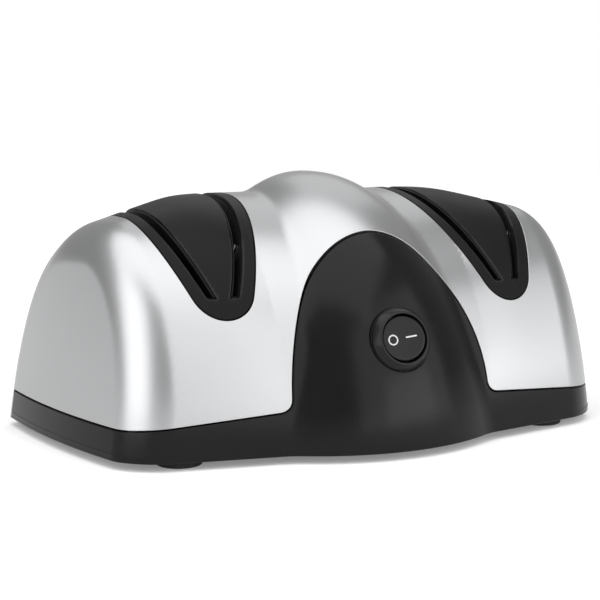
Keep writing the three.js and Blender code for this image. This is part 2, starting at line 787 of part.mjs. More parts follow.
function statorCore() {
  const rear = legFarY - shaftY;
  const core = block(-stackHalf, stackHalf, -poleHalf, rear, -poleHalf, poleHalf);
  const window = block(-overrun, overrun, poleHalf, rear - legThickness, -windowHalf, windowHalf);
  const bore = rod(rotorRadius + airGap, -overrun, overrun, fineSides, "x");
  let cut = core.subtract(window).subtract(bore);
  for (const [, ySign] of rows) {
    for (const [, zSign] of sides) {
      const hole = rod(tieRadius + fitGap, -overrun, overrun, roundSides, "x");
      cut = cut.subtract(hole.translate([0, ySign * tieReach, zSign * tieReach]));
    }
  }
  return cut;
}

function ring(innerX, innerY, build, halfHeight) {
  const outerX = innerX + build;
  const outerY = innerY + build;
  const outer = block(-outerX, outerX, -outerY, outerY, -halfHeight, halfHeight);
  return outer.subtract(block(-innerX, innerX, -innerY, innerY, -overrun, overrun));
}

function bearingBracket(mirror) {
  const face = poleHalf + bracketStandoff;
  const x = (near, far) => (mirror > 0 ? [near, far] : [-far, -near]);
  const foot = motorFootZ - shaftZ;
  let bracket = block(...x(0, bracketThickness), -bracketHalf, bracketHalf, foot, bracketHalf);
  const tread = [...x(0, bracketThickness + bracketFootLength), -bracketHalf, bracketHalf];
  bracket = bracket.add(block(...tread, foot, foot + bracketThickness));
  const overhang = (bushLength - bracketThickness) / 2;
  bracket = bracket.add(rod(bossRadius, ...x(-overhang, bracketThickness + overhang), fineSides, "x"));
  bracket = bracket.subtract(rod(bushRadius + shaftFit, -face, face, fineSides, "x"));
  for (const [, ySign] of rows) {
    for (const [, zSign] of sides) {
      const spacer = rod(spacerRadius, ...x(fitGap - bracketStandoff, bracketThickness / 2), roundSides, "x");
      const hole = rod(tieRadius + fitGap, -overrun, overrun, roundSides, "x");
      const spot = [0, ySign * tieReach, zSign * tieReach];
      bracket = bracket.add(spacer.translate(spot)).subtract(hole.translate(spot));
    }
    const screwHole = rod(screwRadius + fitGap, foot - overrun, foot + bracketThickness + fitGap, roundSides);
    const holeX = mirror * (motorScrewX - bracketX);
    bracket = bracket.subtract(screwHole.translate([holeX, ySign * motorScrewY, 0]));
  }
  return bracket;
}

const coilY = legNearY + legThickness / 2;
const bobbinHalf = windowHalf - fitGap;
const bobbinInnerX = stackHalf + fitGap;
const bobbinInnerY = legThickness / 2 + fitGap;
const coilInset = bobbinWall + fitGap;

function coilBobbin() {
  const core = ring(bobbinInnerX, bobbinInnerY, bobbinWall, bobbinHalf);
  const flange = ring(bobbinInnerX, bobbinInnerY, bobbinWall + coilBuild, bobbinWall / 2);
  const offset = bobbinHalf - bobbinWall / 2;
  return joined([core, flange.translate([0, 0, offset]), flange.translate([0, 0, -offset])]);
}

addPiece("stator_core", "core", statorCore(), [0, shaftY, shaftZ]);
addPiece("coil_bobbin", "nylon", coilBobbin(), [0, coilY, shaftZ]);
addPiece(
  "field_coil",
  "copper",
  ring(bobbinInnerX + coilInset, bobbinInnerY + coilInset, coilBuild - 2 * fitGap, bobbinHalf - coilInset),
  [0, coilY, shaftZ],
);
for (const [name, mirror] of sides) {
  const bush = tube(bushRadius, shaftRadius + shaftFit, -bushLength / 2, bushLength / 2, fineSides, "x");
  const bushX = bracketX + bracketThickness / 2;
  addPiece(`${name}_bearing_bracket`, "steel", bearingBracket(mirror), [mirror * bracketX, shaftY, shaftZ]);
  addPiece(`${name}_bearing_bush`, "brass", bush, [mirror * bushX, shaftY, shaftZ]);
}

// A screw with its head on the near side of zero and its shank running the other way
function screw(headRadius, headThickness, shankRadius, length, axis) {
  const profile = [[0, -length], [shankRadius, -length], [shankRadius, 0], [headRadius, 0]];
  return turned([...profile, [headRadius, headThickness], [0, headThickness]], roundSides, axis);
}

for (const [row, ySign] of rows) {
  for (const [level, zSign] of [["lower", -1], ["upper", 1]]) {
    const tie = screw(tieHeadRadius, tieHeadThickness, tieRadius, 2 * tieX, "x");
    const place = [tieX, shaftY + ySign * tieReach, shaftZ + zSign * tieReach];
    addPiece(`${row}_${level}_tie_screw`, "steel", tie, place);
  }
}

acrossCorners((side, mirror, row, sign) => {
  const name = `${row}_${side}`;
  const caseScrew = screw(screwHeadRadius, screwHeadThickness, screwRadius, screwLength).rotate([180, 0, 0]);
  const caseScrewZ = footHeight + headWell - fitGap;
  addPiece(`${name}_case_screw`, "steel", caseScrew, [mirror * caseScrewX, caseScrewRows[row], caseScrewZ]);
  const motorScrew = screw(screwHeadRadius, screwHeadThickness, screwRadius, motorScrewLength);
  const motorPlace = [mirror * motorScrewX, shaftY + sign * motorScrewY];
  const motorScrewZ = motorFootZ + bracketThickness + fitGap;
  addPiece(`${name}_motor_screw`, "steel", motorScrew, [...motorPlace, motorScrewZ]);
  const grommet = tube(postRadius, screwRadius + fitGap, 0, grommetThickness, roundSides);
  const grommetZ = motorFootZ - fitGap - grommetThickness;
  addPiece(`${name}_motor_grommet`, "rubber", grommet, [...motorPlace, grommetZ]);
  const stem = rod(footStemRadius, 0, floorTop, roundSides);
  const foot = rod(footRadius, 0, footHeight - fitGap, fineSides).add(stem);
  addPiece(`${name}_foot`, "rubber", foot, [mirror * footX, footRows[row], 0]);
});

// Round rocker switch
const inSwitch = (name, finish, shape, place = [0, 0, 0]) => addPiece(name, finish, shape, place, switchUnit);

inSwitch(
  "switch_body",
  "black",
  turned(
    [
      [0, -switchBodyDepth],
      [switchBodyRadius, -switchBodyDepth],
      [switchBodyRadius, fitGap],
      [bezelRadius, fitGap],
      [bezelRimRadius, bezelHeight],
      [switchWellRadius, bezelHeight],
      [switchWellRadius, -switchWellDepth],
      [0, -switchWellDepth],
    ],
    fineSides,
    "y",
  ),
);

function switchRocker() {
  const profile = [[0, -rockerDepth], [rockerRadius / 2, -rockerDepth], [rockerRadius, -rockerDepth / 2]];
  const face = [[rockerRadius, rockerRise], [0, rockerRise - rockerDish]];
  return turned([...profile, ...face], fineSides, "y");
}

const rocker = inSwitch("switch_rocker", "black", switchRocker());
rocker.rotation.z = -THREE.MathUtils.degToRad(rockerTiltDeg);
for (const [name, mirror] of sides) {
  const half = terminalThickness / 2;
  const y = switchBodyDepth + fitGap;
  const blade = block(-half, half, y, y + terminalLength, -terminalWidth / 2, terminalWidth / 2);
  inSwitch(`${name}_switch_terminal`, "brass", blade, [mirror * terminalOffset, 0, 0]);
}

// Inlet bush in the rear wall, with its flange inside
const flangeNear = wall + 2 * fitGap;
const glandNeck = tube(glandRadius, glandBore, 0, glandLength, fineSides, "y");
const glandCollar = tube(glandFlangeRadius, glandBore, flangeNear, flangeNear + glandFlange, fineSides, "y");
addPiece("cord_gland", "rubber", glandNeck.add(glandCollar), [glandX, rearY - fitGap, glandZ]);

// Leads: from the inlet to the switch and to the coil, and from the switch to the coil
const leadEdge = leadRadius + fitGap;
const glandEnd = rearY - glandLength;
const laneZ = floorTop + leadDrop;
const laneFrontY = shaftY - bracketHalf + leadDrop;
const tipReach = switchBodyDepth + terminalLength + fitGap + leadEdge;
const tipY = switchY + tipReach * Math.cos(switchLean);
const tipZ = switchZ - tipReach * Math.sin(switchLean);
const coilX = bobbinInnerX + bobbinWall + coilBuild + leadEdge;

function leadAlong(route) {
  const curve = new THREE.CatmullRomCurve3(route.map((point) => new THREE.Vector3(...point)));
  const section = new THREE.Shape();
  section.absarc(0, 0, leadRadius, 0, 2 * Math.PI);
  const steps = Math.ceil(curve.getLength() / (5 * leadRadius));
  return solid(new THREE.ExtrudeGeometry(section, { steps, curveSegments: 4, extrudePath: curve }));
}

const switchLane = (mirror) => [
  [mirror * leadLaneX, coilY - legThickness, laneZ],
  [mirror * leadLaneX, laneFrontY, laneZ],
  [mirror * poleHalf, tipY - leadDrop, laneZ + leadDrop],
  [mirror * (terminalOffset + leadDrop / 2), tipY, tipZ - 2 * leadDrop],
  [mirror * terminalOffset, tipY, tipZ],
];
const liveX = glandX + leadPitch / 2;
const neutralX = glandX - leadPitch / 2;
addPiece("live_lead", "brown", leadAlong([
  [liveX, glandEnd - leadDrop / 2, glandZ],
  [liveX, glandEnd - 2 * leadDrop, glandZ],
  ...switchLane(1),
]));
addPiece("neutral_lead", "blue", leadAlong([
  [neutralX, glandEnd - leadDrop / 2, glandZ],
  [neutralX, glandEnd - leadDrop, glandZ],
  [coilX + leadDrop, coilY + leadDrop, glandZ + leadDrop],
  [coilX, coilY, shaftZ - windowHalf / 2],
]));
addPiece("motor_lead", "brown", leadAlong([
  [-coilX, coilY, shaftZ - windowHalf / 2],
  [-coilX - leadDrop, coilY, glandZ + leadDrop],
  ...switchLane(-1),
]));

export default sharpener;
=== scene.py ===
"""Electric knife sharpener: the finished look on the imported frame.

Sizes are in millimetres in the classes, and become metres when a mesh is made.
"""

import json
import logging
import math
from dataclasses import dataclass, field
from enum import Enum
from typing import Callable, Sequence, Union

import bpy
import numpy as np
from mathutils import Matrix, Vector


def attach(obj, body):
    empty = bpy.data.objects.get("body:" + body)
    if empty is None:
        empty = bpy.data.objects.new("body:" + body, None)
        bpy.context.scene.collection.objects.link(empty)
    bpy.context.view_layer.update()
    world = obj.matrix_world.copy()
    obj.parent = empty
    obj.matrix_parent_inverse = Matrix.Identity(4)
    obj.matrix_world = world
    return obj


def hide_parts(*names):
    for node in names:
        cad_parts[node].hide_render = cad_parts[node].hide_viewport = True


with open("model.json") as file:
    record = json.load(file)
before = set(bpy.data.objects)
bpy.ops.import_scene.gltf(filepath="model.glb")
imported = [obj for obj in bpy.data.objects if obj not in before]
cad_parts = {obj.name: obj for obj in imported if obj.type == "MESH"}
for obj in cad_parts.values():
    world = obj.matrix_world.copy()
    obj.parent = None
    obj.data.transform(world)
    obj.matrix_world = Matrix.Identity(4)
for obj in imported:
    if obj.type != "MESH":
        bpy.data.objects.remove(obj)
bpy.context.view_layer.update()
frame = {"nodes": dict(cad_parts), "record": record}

log = logging.getLogger("sharpener")
Array = np.ndarray
Amount = Union[float, np.ndarray]
Field = Callable[[Array], Array]
Span = tuple[float, float]
Spot = tuple[float, float, float]

# A millimetre in metres, a radius that counts as none, and a distance past every cut
METRES = 0.001
TINY = 1e-6
FAR = 50.0

# The angle from which an edge is sharp, and the name under which a point's share of slot-edge wear and
# painted highlight is stored
CREASE_ANGLE = math.radians(38)
WEAR_AND_HIGHLIGHT = "wear"

# The right wheel's centre, which the left one mirrors, and the x and z of the cord inlet at the rear
WHEEL = (60.5, 8.5, 40.0)
INLET = (34.0, 20.0)

# How far the inserts' sides and slots lean, where both skins end over the feet, and the black edges' radius
GUIDE_TILT = math.radians(23.0)
SKIN_FOOT_Z = 3.05
ROLL = 0.45


class Named(Enum):
    """Options whose names the nodes spell in lower case."""

    @property
    def word(self) -> str:
        """Returns the option's name as the nodes spell it."""
        return self.name.lower()


class Side(Named):
    """Left or right half of the sharpener, with the sign of its x."""

    LEFT = -1
    RIGHT = 1


class SlotPlace(Named):
    """A slot's place in its insert, with the way that it leans from the insert's middle."""

    INNER = -1
    OUTER = 1


class Carrier(Enum):
    """Bodies of the frame that the pieces ride on."""

    CASING = "casing"
    ROTOR = "rotor"
    ROCKER = "rocker"
    LEFT_INNER_SPRING = "left_inner_spring"
    LEFT_OUTER_SPRING = "left_outer_spring"
    RIGHT_INNER_SPRING = "right_inner_spring"
    RIGHT_OUTER_SPRING = "right_outer_spring"


# Shader maths


class Signal:
    """A shader socket that takes part in sums and products."""

    def __init__(self, tree: "ShaderTree", socket: bpy.types.NodeSocket) -> None:
        """Keeps the socket and the tree that it is in."""
        self.tree = tree
        self.socket = socket

    def __add__(self, other: "Value") -> "Signal":
        """Returns self + other."""
        return self.tree.math("ADD", self, other)

    def __sub__(self, other: "Value") -> "Signal":
        """Returns self - other."""
        return self.tree.math("SUBTRACT", self, other)

    def __rsub__(self, other: "Value") -> "Signal":
        """Returns other - self."""
        return self.tree.math("SUBTRACT", other, self)

    def __mul__(self, other: "Value") -> "Signal":
        """Returns self * other."""
        return self.tree.math("MULTIPLY", self, other)

    def __pow__(self, other: "Value") -> "Signal":
        """Returns self to the power of other."""
        return self.tree.math("POWER", self, other)

    def sine(self) -> "Signal":
        """Returns the sine of self, in radians."""
        return self.tree.math("SINE", self)

    def between(self, low: float, high: float) -> "Signal":
        """Returns a soft step that is 0 at low and 1 at high."""
        sockets = {"Value": self, "From Min": low, "From Max": high}
        return self.tree.node("ShaderNodeMapRange", {"interpolation_type": "SMOOTHSTEP"}, sockets)


Value = Union[Signal, float, Sequence[float]]


class ShaderTree:
    """A node tree that is written as expressions."""

    def __init__(self, tree: bpy.types.NodeTree) -> None:
        """Empties the tree and keeps it."""
        self.tree = tree
        tree.nodes.clear()

    def node(
        self,
        kind: str,
        settings: dict[str, object] | None = None,
        sockets: dict[Union[str, int], Value] | None = None,
        output: Union[str, int] = 0,
    ) -> Signal:
        """Adds a node.

        Args:
            kind: the node's type.
            settings: its own settings, which are made first.
            sockets: what its input sockets hold, by name or by number.
            output: the output that is returned.

        Returns:
            The chosen output as a signal.
        """
        made = self.tree.nodes.new(kind)
        for key, value in (settings or {}).items():
            setattr(made, key, value)
        for key, value in (sockets or {}).items():
            self.feed(made.inputs[key], value)
        return Signal(self, made.outputs[output]) if made.outputs else Signal(self, made.inputs[0])

    def feed(self, socket: bpy.types.NodeSocket, value: Value) -> None:
        """Links a signal to a socket, or sets the socket's own value."""
        if isinstance(value, Signal):
            self.tree.links.new(value.socket, socket)
        elif isinstance(value, (int, float)):
            socket.default_value = value
        else:
            values = tuple(value)
            full = len(socket.default_value)
            socket.default_value = values if len(values) == full else (*values, 1.0)

    def math(self, operation: str, *values: Value) -> Signal:
        """Adds a Math node over numbers or number signals."""
        return self.node("ShaderNodeMath", {"operation": operation}, dict(enumerate(values)))

    def vector(self, operation: str, *values: Value) -> Signal:
        """Adds a Vector Math node."""
        return self.node("ShaderNodeVectorMath", {"operation": operation}, dict(enumerate(values)))

    def blend(self, share: Value, first: Value, second: Value) -> Signal:
        """Mixes two colours, with the second at a share of 1."""
        sockets = {0: share, 6: first, 7: second}
        return self.node("ShaderNodeMix", {"data_type": "RGBA"}, sockets, 2)

    def place(self, stretch: Sequence[float] = (1.0, 1.0, 1.0)) -> Signal:
        """Returns the place on the piece in millimetres, with each axis times its stretch."""
        spot = self.node("ShaderNodeTexCoord", output="Object")
        return self.vector("MULTIPLY", spot, [part / METRES for part in stretch])

    def noise(self, size: float, detail: float = 2.0, stretch: Sequence[float] = (1.0, 1.0, 1.0)) -> Signal:
        """Returns smooth noise around 0.5 with lumps of a size in millimetres."""
        sockets = {"Vector": self.place(stretch), "Scale": 1.0 / size, "Detail": detail}
        return self.node("ShaderNodeTexNoise", None, sockets)

    def cells(self, size: float, output: str = "Distance") -> Signal:
        """Returns cells of a size in millimetres, as a distance or as a random colour."""
        sockets = {"Vector": self.place(), "Scale": 1.0 / size}
        return self.node("ShaderNodeTexVoronoi", None, sockets, output)

    def axis(self, name: str) -> Signal:
        """Returns one coordinate of the place in millimetres."""
        return self.node("ShaderNodeSeparateXYZ", None, {0: self.place()}, name)

    def relief(self, height: Signal, depth: float) -> Signal:
        """Returns a normal that a height from 0 to 1 bumps by a depth in millimetres."""
        sockets = {"Height": height, "Distance": depth * METRES, "Strength": 1.0}
        return self.node("ShaderNodeBump", None, sockets)


# Finishes


@dataclass(frozen=True)
class Finish:
    """What all finishes share: a name, the record's slot, and plain values of the surface."""

    name: str
    slot: str
    colour: tuple[float, float, float]
    roughness: float
    metallic: float = 0.0
    specular: float = 0.5

    def tinted(self, share: float) -> list[float]:
        """Returns the finish's colour times a share."""
        return [part * share for part in self.colour]

    def dress(self, tree: ShaderTree) -> dict[str, Value]:
        """Returns what varies over the surface, by the shader's socket names."""
        raise NotImplementedError

    def material(self) -> bpy.types.Material:
        """Returns the finish's material, made on its first use."""
        known = bpy.data.materials.get(self.name)
        if known:
            return known
        made = bpy.data.materials.new(self.name)
        made.use_nodes = True
        tree = ShaderTree(made.node_tree)
        sockets: dict[str, Value] = {"Base Color": self.colour, "Roughness": self.roughness}
        sockets["Metallic"] = self.metallic
        sockets["Specular IOR Level"] = self.specular
        sockets.update(self.dress(tree))
        shader = tree.node("ShaderNodeBsdfPrincipled", None, sockets)
        tree.node("ShaderNodeOutputMaterial", None, {"Surface": shader})
        return made


@dataclass(frozen=True)
class SilverPaint(Finish):
    """Satin silver paint on a moulding: fine flakes, a faint orange peel and a slow drift of tone."""

    flake: float = 0.16
    peel: float = 1.8
    drift: float = 42.0
    flake_tone: float = 0.55
    flake_height: float = 0.2
    dark: float = 0.93
    light: float = 1.06
    dulling: float = 0.05
    depth: float = 0.006

    def dress(self, tree: ShaderTree) -> dict[str, Value]:
        """Returns flaked colour, uneven gloss and a soft peel."""
        flakes = tree.node("ShaderNodeSeparateColor", None, {0: tree.cells(self.flake, "Color")})
        drift = tree.noise(self.drift, detail=1.0)
        share = flakes * self.flake_tone + drift * (1 - self.flake_tone)
        height = tree.noise(self.peel, detail=1.0) * (1 - self.flake_height) + flakes * self.flake_height
        return {
            "Base Color": tree.blend(share, self.tinted(self.dark), self.tinted(self.light)),
            "Roughness": drift * self.dulling + flakes * self.dulling + (self.roughness - self.dulling),
            "Normal": tree.relief(height, self.depth),
        }


@dataclass(frozen=True)
class MouldedBlack(Finish):
    """Black moulded plastic with a fine spark-eroded grain and faint handling marks."""

    grain: float = 0.3
    depth: float = 0.008
    rub: float = 0.06
    worn: float = 0.0
    cloud: float = 16.0
    light: float = 1.5
    haze: float = 0.002
    grain_tone: float = 0.5
    cloud_tone: float = 0.4
    grain_dulling: float = 0.06
    patches: tuple[float, float] = (0.35, 0.6)

    def dress(self, tree: ShaderTree) -> dict[str, Value]:
        """Returns a grained surface whose gloss varies a little, paler along the slot edges from blade wear
        and a painted highlight.
        """
        grain = tree.noise(self.grain, detail=3.0)
        cloud = tree.noise(self.cloud)
        light = [part + self.haze for part in self.tinted(self.light)]
        colour = tree.blend(grain * self.grain_tone + cloud * self.cloud_tone, self.colour, light)
        # Paler patches along the slot edges: partly blade wear, partly a painted highlight that stands in for
        # edge glints.
        if self.worn:
            wear = tree.node("ShaderNodeAttribute", {"attribute_name": WEAR_AND_HIGHLIGHT}, output="Fac")
            colour = tree.blend(wear * cloud.between(*self.patches), colour, [self.worn] * 3)
        least = self.roughness - self.rub - self.grain_dulling / 2
        return {
            "Base Color": colour,
            "Roughness": cloud * (2 * self.rub) + grain * self.grain_dulling + least,
            "Normal": tree.relief(grain, self.depth),
        }


@dataclass(frozen=True)
class FootRubber(Finish):
    """Dull rubber with moulding dust."""

    dust: float = 2.5
    patches: tuple[float, float] = (0.45, 0.8)
    light: float = 2.6
    dulling: float = 0.12
    grain: float = 0.5
    depth: float = 0.02

    def dress(self, tree: ShaderTree) -> dict[str, Value]:
        """Returns a dusty matt surface."""
        dust = tree.noise(self.dust, detail=4.0)
        return {
            "Base Color": tree.blend(dust.between(*self.patches), self.colour, self.tinted(self.light)),
            "Roughness": dust * self.dulling + (self.roughness - self.dulling / 2),
            "Normal": tree.relief(tree.noise(self.grain, detail=3.0), self.depth),
        }


@dataclass(frozen=True)
class BrushedMetal(Finish):
    """Metal with fine drawn lines along one axis."""

    stretch: tuple[float, float, float] = (0.05, 1.0, 1.0)
    line: float = 0.12
    stain: float = 6.0
    dark: float = 0.82
    line_tone: float = 0.3
    stain_tone: float = 0.6
    line_dulling: float = 0.16
    stain_dulling: float = 0.08
    depth: float = 0.003

    def dress(self, tree: ShaderTree) -> dict[str, Value]:
        """Returns lines in colour, gloss and relief."""
        lines = tree.noise(self.line, stretch=self.stretch)
        stain = tree.noise(self.stain, detail=3.0)
        share = stain * self.stain_tone + lines * self.line_tone
        least = self.roughness - (self.line_dulling + self.stain_dulling) / 2
        return {
            "Base Color": tree.blend(share, self.tinted(self.dark), self.colour),
            "Roughness": lines * self.line_dulling + stain * self.stain_dulling + least,
            "Normal": tree.relief(lines, self.depth),
        }


@dataclass(frozen=True)
class LaminatedIron(Finish):
    """Stacked sheet iron whose edges show as fine lines across the shaft."""

    sheet: float = 0.5
    dark: float = 0.45
    bloom: float = 5.0
    patches: tuple[float, float] = (0.55, 0.75)
    rust: tuple[float, float, float] = (0.16, 0.09, 0.05)
    rust_tone: float = 0.35
    dulling: float = 0.25
    depth: float = 0.05

    def dress(self, tree: ShaderTree) -> dict[str, Value]:
        """Returns sheet edges with a light rust bloom."""
        edge = (tree.axis("X") * (2 * math.pi / self.sheet)).sine() * 0.5 + 0.5
        bloom = tree.noise(self.bloom, detail=4.0).between(*self.patches)
        sheets = tree.blend(edge, self.tinted(self.dark), self.colour)
        return {
            "Base Color": tree.blend(bloom * self.rust_tone, sheets, self.rust),
            "Roughness": bloom * self.dulling + self.roughness,
            "Normal": tree.relief(edge, self.depth),
        }


@dataclass(frozen=True)
class EnamelledWinding(Finish):
    """Enamelled copper wire laid side by side."""

    wire: float = 0.4
    # How dark the painted shade in the grooves between the wires is.
    dark: float = 0.3
    cloud: float = 3.0
    dulling: float = 0.15
    gloss: float = 0.07
    depth: float = 0.15

    def dress(self, tree: ShaderTree) -> dict[str, Value]:
        """Returns rows of round wire, with the colour darkened in the grooves between the wires as painted
        shade.
        """
        row = (tree.axis("Z") * (math.pi / self.wire)).sine()
        round_wire = (1.0 - row * row) ** 0.5
        return {
            # The colour darkens towards the grooves between the wires: painted shade, on top of the relief.
            "Base Color": tree.blend(round_wire, self.tinted(self.dark), self.colour),
            "Roughness": tree.noise(self.cloud) * self.dulling + (self.roughness - self.gloss),
            "Normal": tree.relief(round_wire, self.depth),
        }


@dataclass(frozen=True)
class Abrasive(Finish):
    """Bonded grit: grains of mixed tone in a matt bond."""

    grit: float = 0.5
    spark: tuple[float, float, float] = (0.5, 0.52, 0.5)
    patches: tuple[float, float] = (0.35, 0.95)
    dulling: float = 0.2

    def dress(self, tree: ShaderTree) -> dict[str, Value]:
        """Returns grains with light and dark faces, half as deep as they are wide."""
        tone = tree.node("ShaderNodeSeparateColor", None, {0: tree.cells(self.grit, "Color")})
        return {
            "Base Color": tree.blend(tone.between(*self.patches), self.colour, self.spark),
            "Roughness": tone * self.dulling + (self.roughness - self.dulling / 2),
            "Normal": tree.relief(tree.cells(self.grit), self.grit / 2),
        }


@dataclass(frozen=True)
class PlainPlastic(Finish):
    """Moulded plastic or insulation with a faint mottle, used for inner pieces and the printed marks."""

    mottle: float = 4.0
    grains: float = 8.0
    dark: float = 0.88
    dulling: float = 0.14
    depth: float = 0.01

    def dress(self, tree: ShaderTree) -> dict[str, Value]:
        """Returns a faint mottle of tone and gloss, with several grains across each patch."""
        cloud = tree.noise(self.mottle, detail=3.0)
        return {
            "Base Color": tree.blend(cloud, self.tinted(self.dark), self.colour),
            "Roughness": cloud * self.dulling + (self.roughness - self.dulling / 2),
            "Normal": tree.relief(tree.noise(self.mottle / self.grains), self.depth),
        }


SILVER = SilverPaint("satin_silver_paint", "silver", (0.4, 0.403, 0.408), 0.33, 0.9)
BLACK = MouldedBlack("black_housing_plastic", "black", (0.005, 0.005, 0.0052), 0.2, specular=0.14)
# The guides' finish paints the slot edges paler: partly blade wear, partly a painted highlight.
SATIN = MouldedBlack(
    "black_guide_plastic", "satin", (0.006, 0.006, 0.0062), 0.4,
    specular=0.07, grain=0.4, depth=0.005, worn=0.045,
)
GLOSS = MouldedBlack(
    "black_switch_plastic", "black", (0.006, 0.006, 0.006), 0.24, specular=0.18, grain=0.5, depth=0.002
)
RUBBER = FootRubber("foot_rubber", "rubber", (0.012, 0.012, 0.012), 0.85)
STEEL = BrushedMetal("turned_steel", "steel", (0.55, 0.55, 0.54), 0.32, 1.0)
SPRING = BrushedMetal(
    "polished_spring_strip", "spring", (0.8, 0.81, 0.82), 0.3, 1.0, stretch=(1.0, 0.05, 1.0), line=0.1
)
CORE = LaminatedIron("laminated_iron", "core", (0.2, 0.21, 0.22), 0.45, 0.85)
COPPER = EnamelledWinding("enamelled_copper", "copper", (0.5, 0.16, 0.05), 0.35, 0.8)
BRASS = BrushedMetal(
    "sintered_bronze", "brass", (0.55, 0.38, 0.15), 0.42, 1.0, stretch=(1.0, 1.0, 1.0), line=0.3
)
COARSE = Abrasive("coarse_grit", "coarse", (0.05, 0.065, 0.06), 0.92, grit=0.55, spark=(0.22, 0.25, 0.24))
FINE = Abrasive("fine_grit", "fine", (0.62, 0.6, 0.55), 0.88, grit=0.28, spark=(0.85, 0.84, 0.8))
NYLON = PlainPlastic("natural_nylon", "nylon", (0.72, 0.7, 0.62), 0.45)
BLUE = PlainPlastic("blue_insulation", "blue", (0.01, 0.05, 0.27), 0.42)
BROWN = PlainPlastic("brown_insulation", "brown", (0.1, 0.032, 0.012), 0.42)
PRINT = PlainPlastic("white_print", "black", (0.62, 0.62, 0.61), 0.5, mottle=1.5)

# Surfaces, and the sheets that are cut from them


def unit(vectors: Array, least: float = 1e-12) -> Array:
    """Returns rows scaled to a length of 1, unless they are shorter than a least length."""
    return vectors / np.maximum(np.linalg.norm(vectors, axis=-1, keepdims=True), least)


def slope_of(values: Field, points: Array, step: float = 0.03) -> Array:
    """Returns the gradient of a field at points, by small steps."""
    parts = []
    for axis in np.eye(3) * step:
        parts.append((values(points + axis) - values(points - axis)) / (2 * step))
    return np.stack(parts, axis=1)


def round_union(first: Array, second: Array, radius: float) -> Array:
    """Returns the union of two distances with a fillet of a radius in the corner between them."""
    near = np.hypot(np.maximum(radius - first, 0), np.maximum(radius - second, 0))
    return np.maximum(radius, np.minimum(first, second)) - near


def round_overlap(first: Array, second: Array, radius: Amount) -> Array:
    """Returns the overlap of two distances with a rounded edge."""
    return -round_union(-first, -second, radius)


def sides_of(faces: Array) -> Array:
    """Returns the three sides of each triangle as pairs of point numbers."""
    return np.vstack([faces[:, [0, 1]], faces[:, [1, 2]], faces[:, [2, 0]]])


def outside(values: Field) -> Field:
    """Returns a field that keeps what another leaves out."""
    return lambda points: -values(points)


def shrunk(values: Field, depth: float) -> Field:
    """Returns a field whose line runs inside another's by a depth."""
    return lambda points: values(points) + depth


def above(level: float) -> Field:
    """Returns a field that keeps what lies over a height."""
    return lambda points: level - points[:, 2]


class Surface:
    """A smooth surface, given by how points are brought onto it and by its outward normals."""

    def settle(self, points: Array) -> Array:
        """Returns the points moved onto the surface."""
        raise NotImplementedError

    def normals(self, points: Array) -> Array:
        """Returns the outward normals at points on the surface."""
        raise NotImplementedError


@dataclass(frozen=True)
class PlaneSurface(Surface):
    """A plane through a point, with its outward normal."""

    origin: Spot
    facing: Spot

    def settle(self, points: Array) -> Array:
        """Returns the points moved onto the plane."""
        facing = unit(np.array([self.facing]))
        return points - ((points - np.array(self.origin)) @ facing.T) * facing

    def normals(self, points: Array) -> Array:
        """Returns the plane's normal for each point."""
        return np.repeat(unit(np.array([self.facing])), len(points), axis=0)


@dataclass(frozen=True)
class Shape:
    """A closed mesh in millimetres with a normal for each point."""

    points: Array
    faces: list[Sequence[int]]
    normals: Array

    def with_shape(self, other: "Shape") -> "Shape":
        """Returns both shapes in one mesh."""
        start = len(self.points)
        faces = self.faces + [[i + start for i in face] for face in other.faces]
        points = np.vstack([self.points, other.points])
        return Shape(points, faces, np.vstack([self.normals, other.normals]))

    def piece(self, name: str) -> bpy.types.Object:
        """Returns the shape as a mesh object."""
        return add_mesh(name, self.points, self.faces, self.normals)


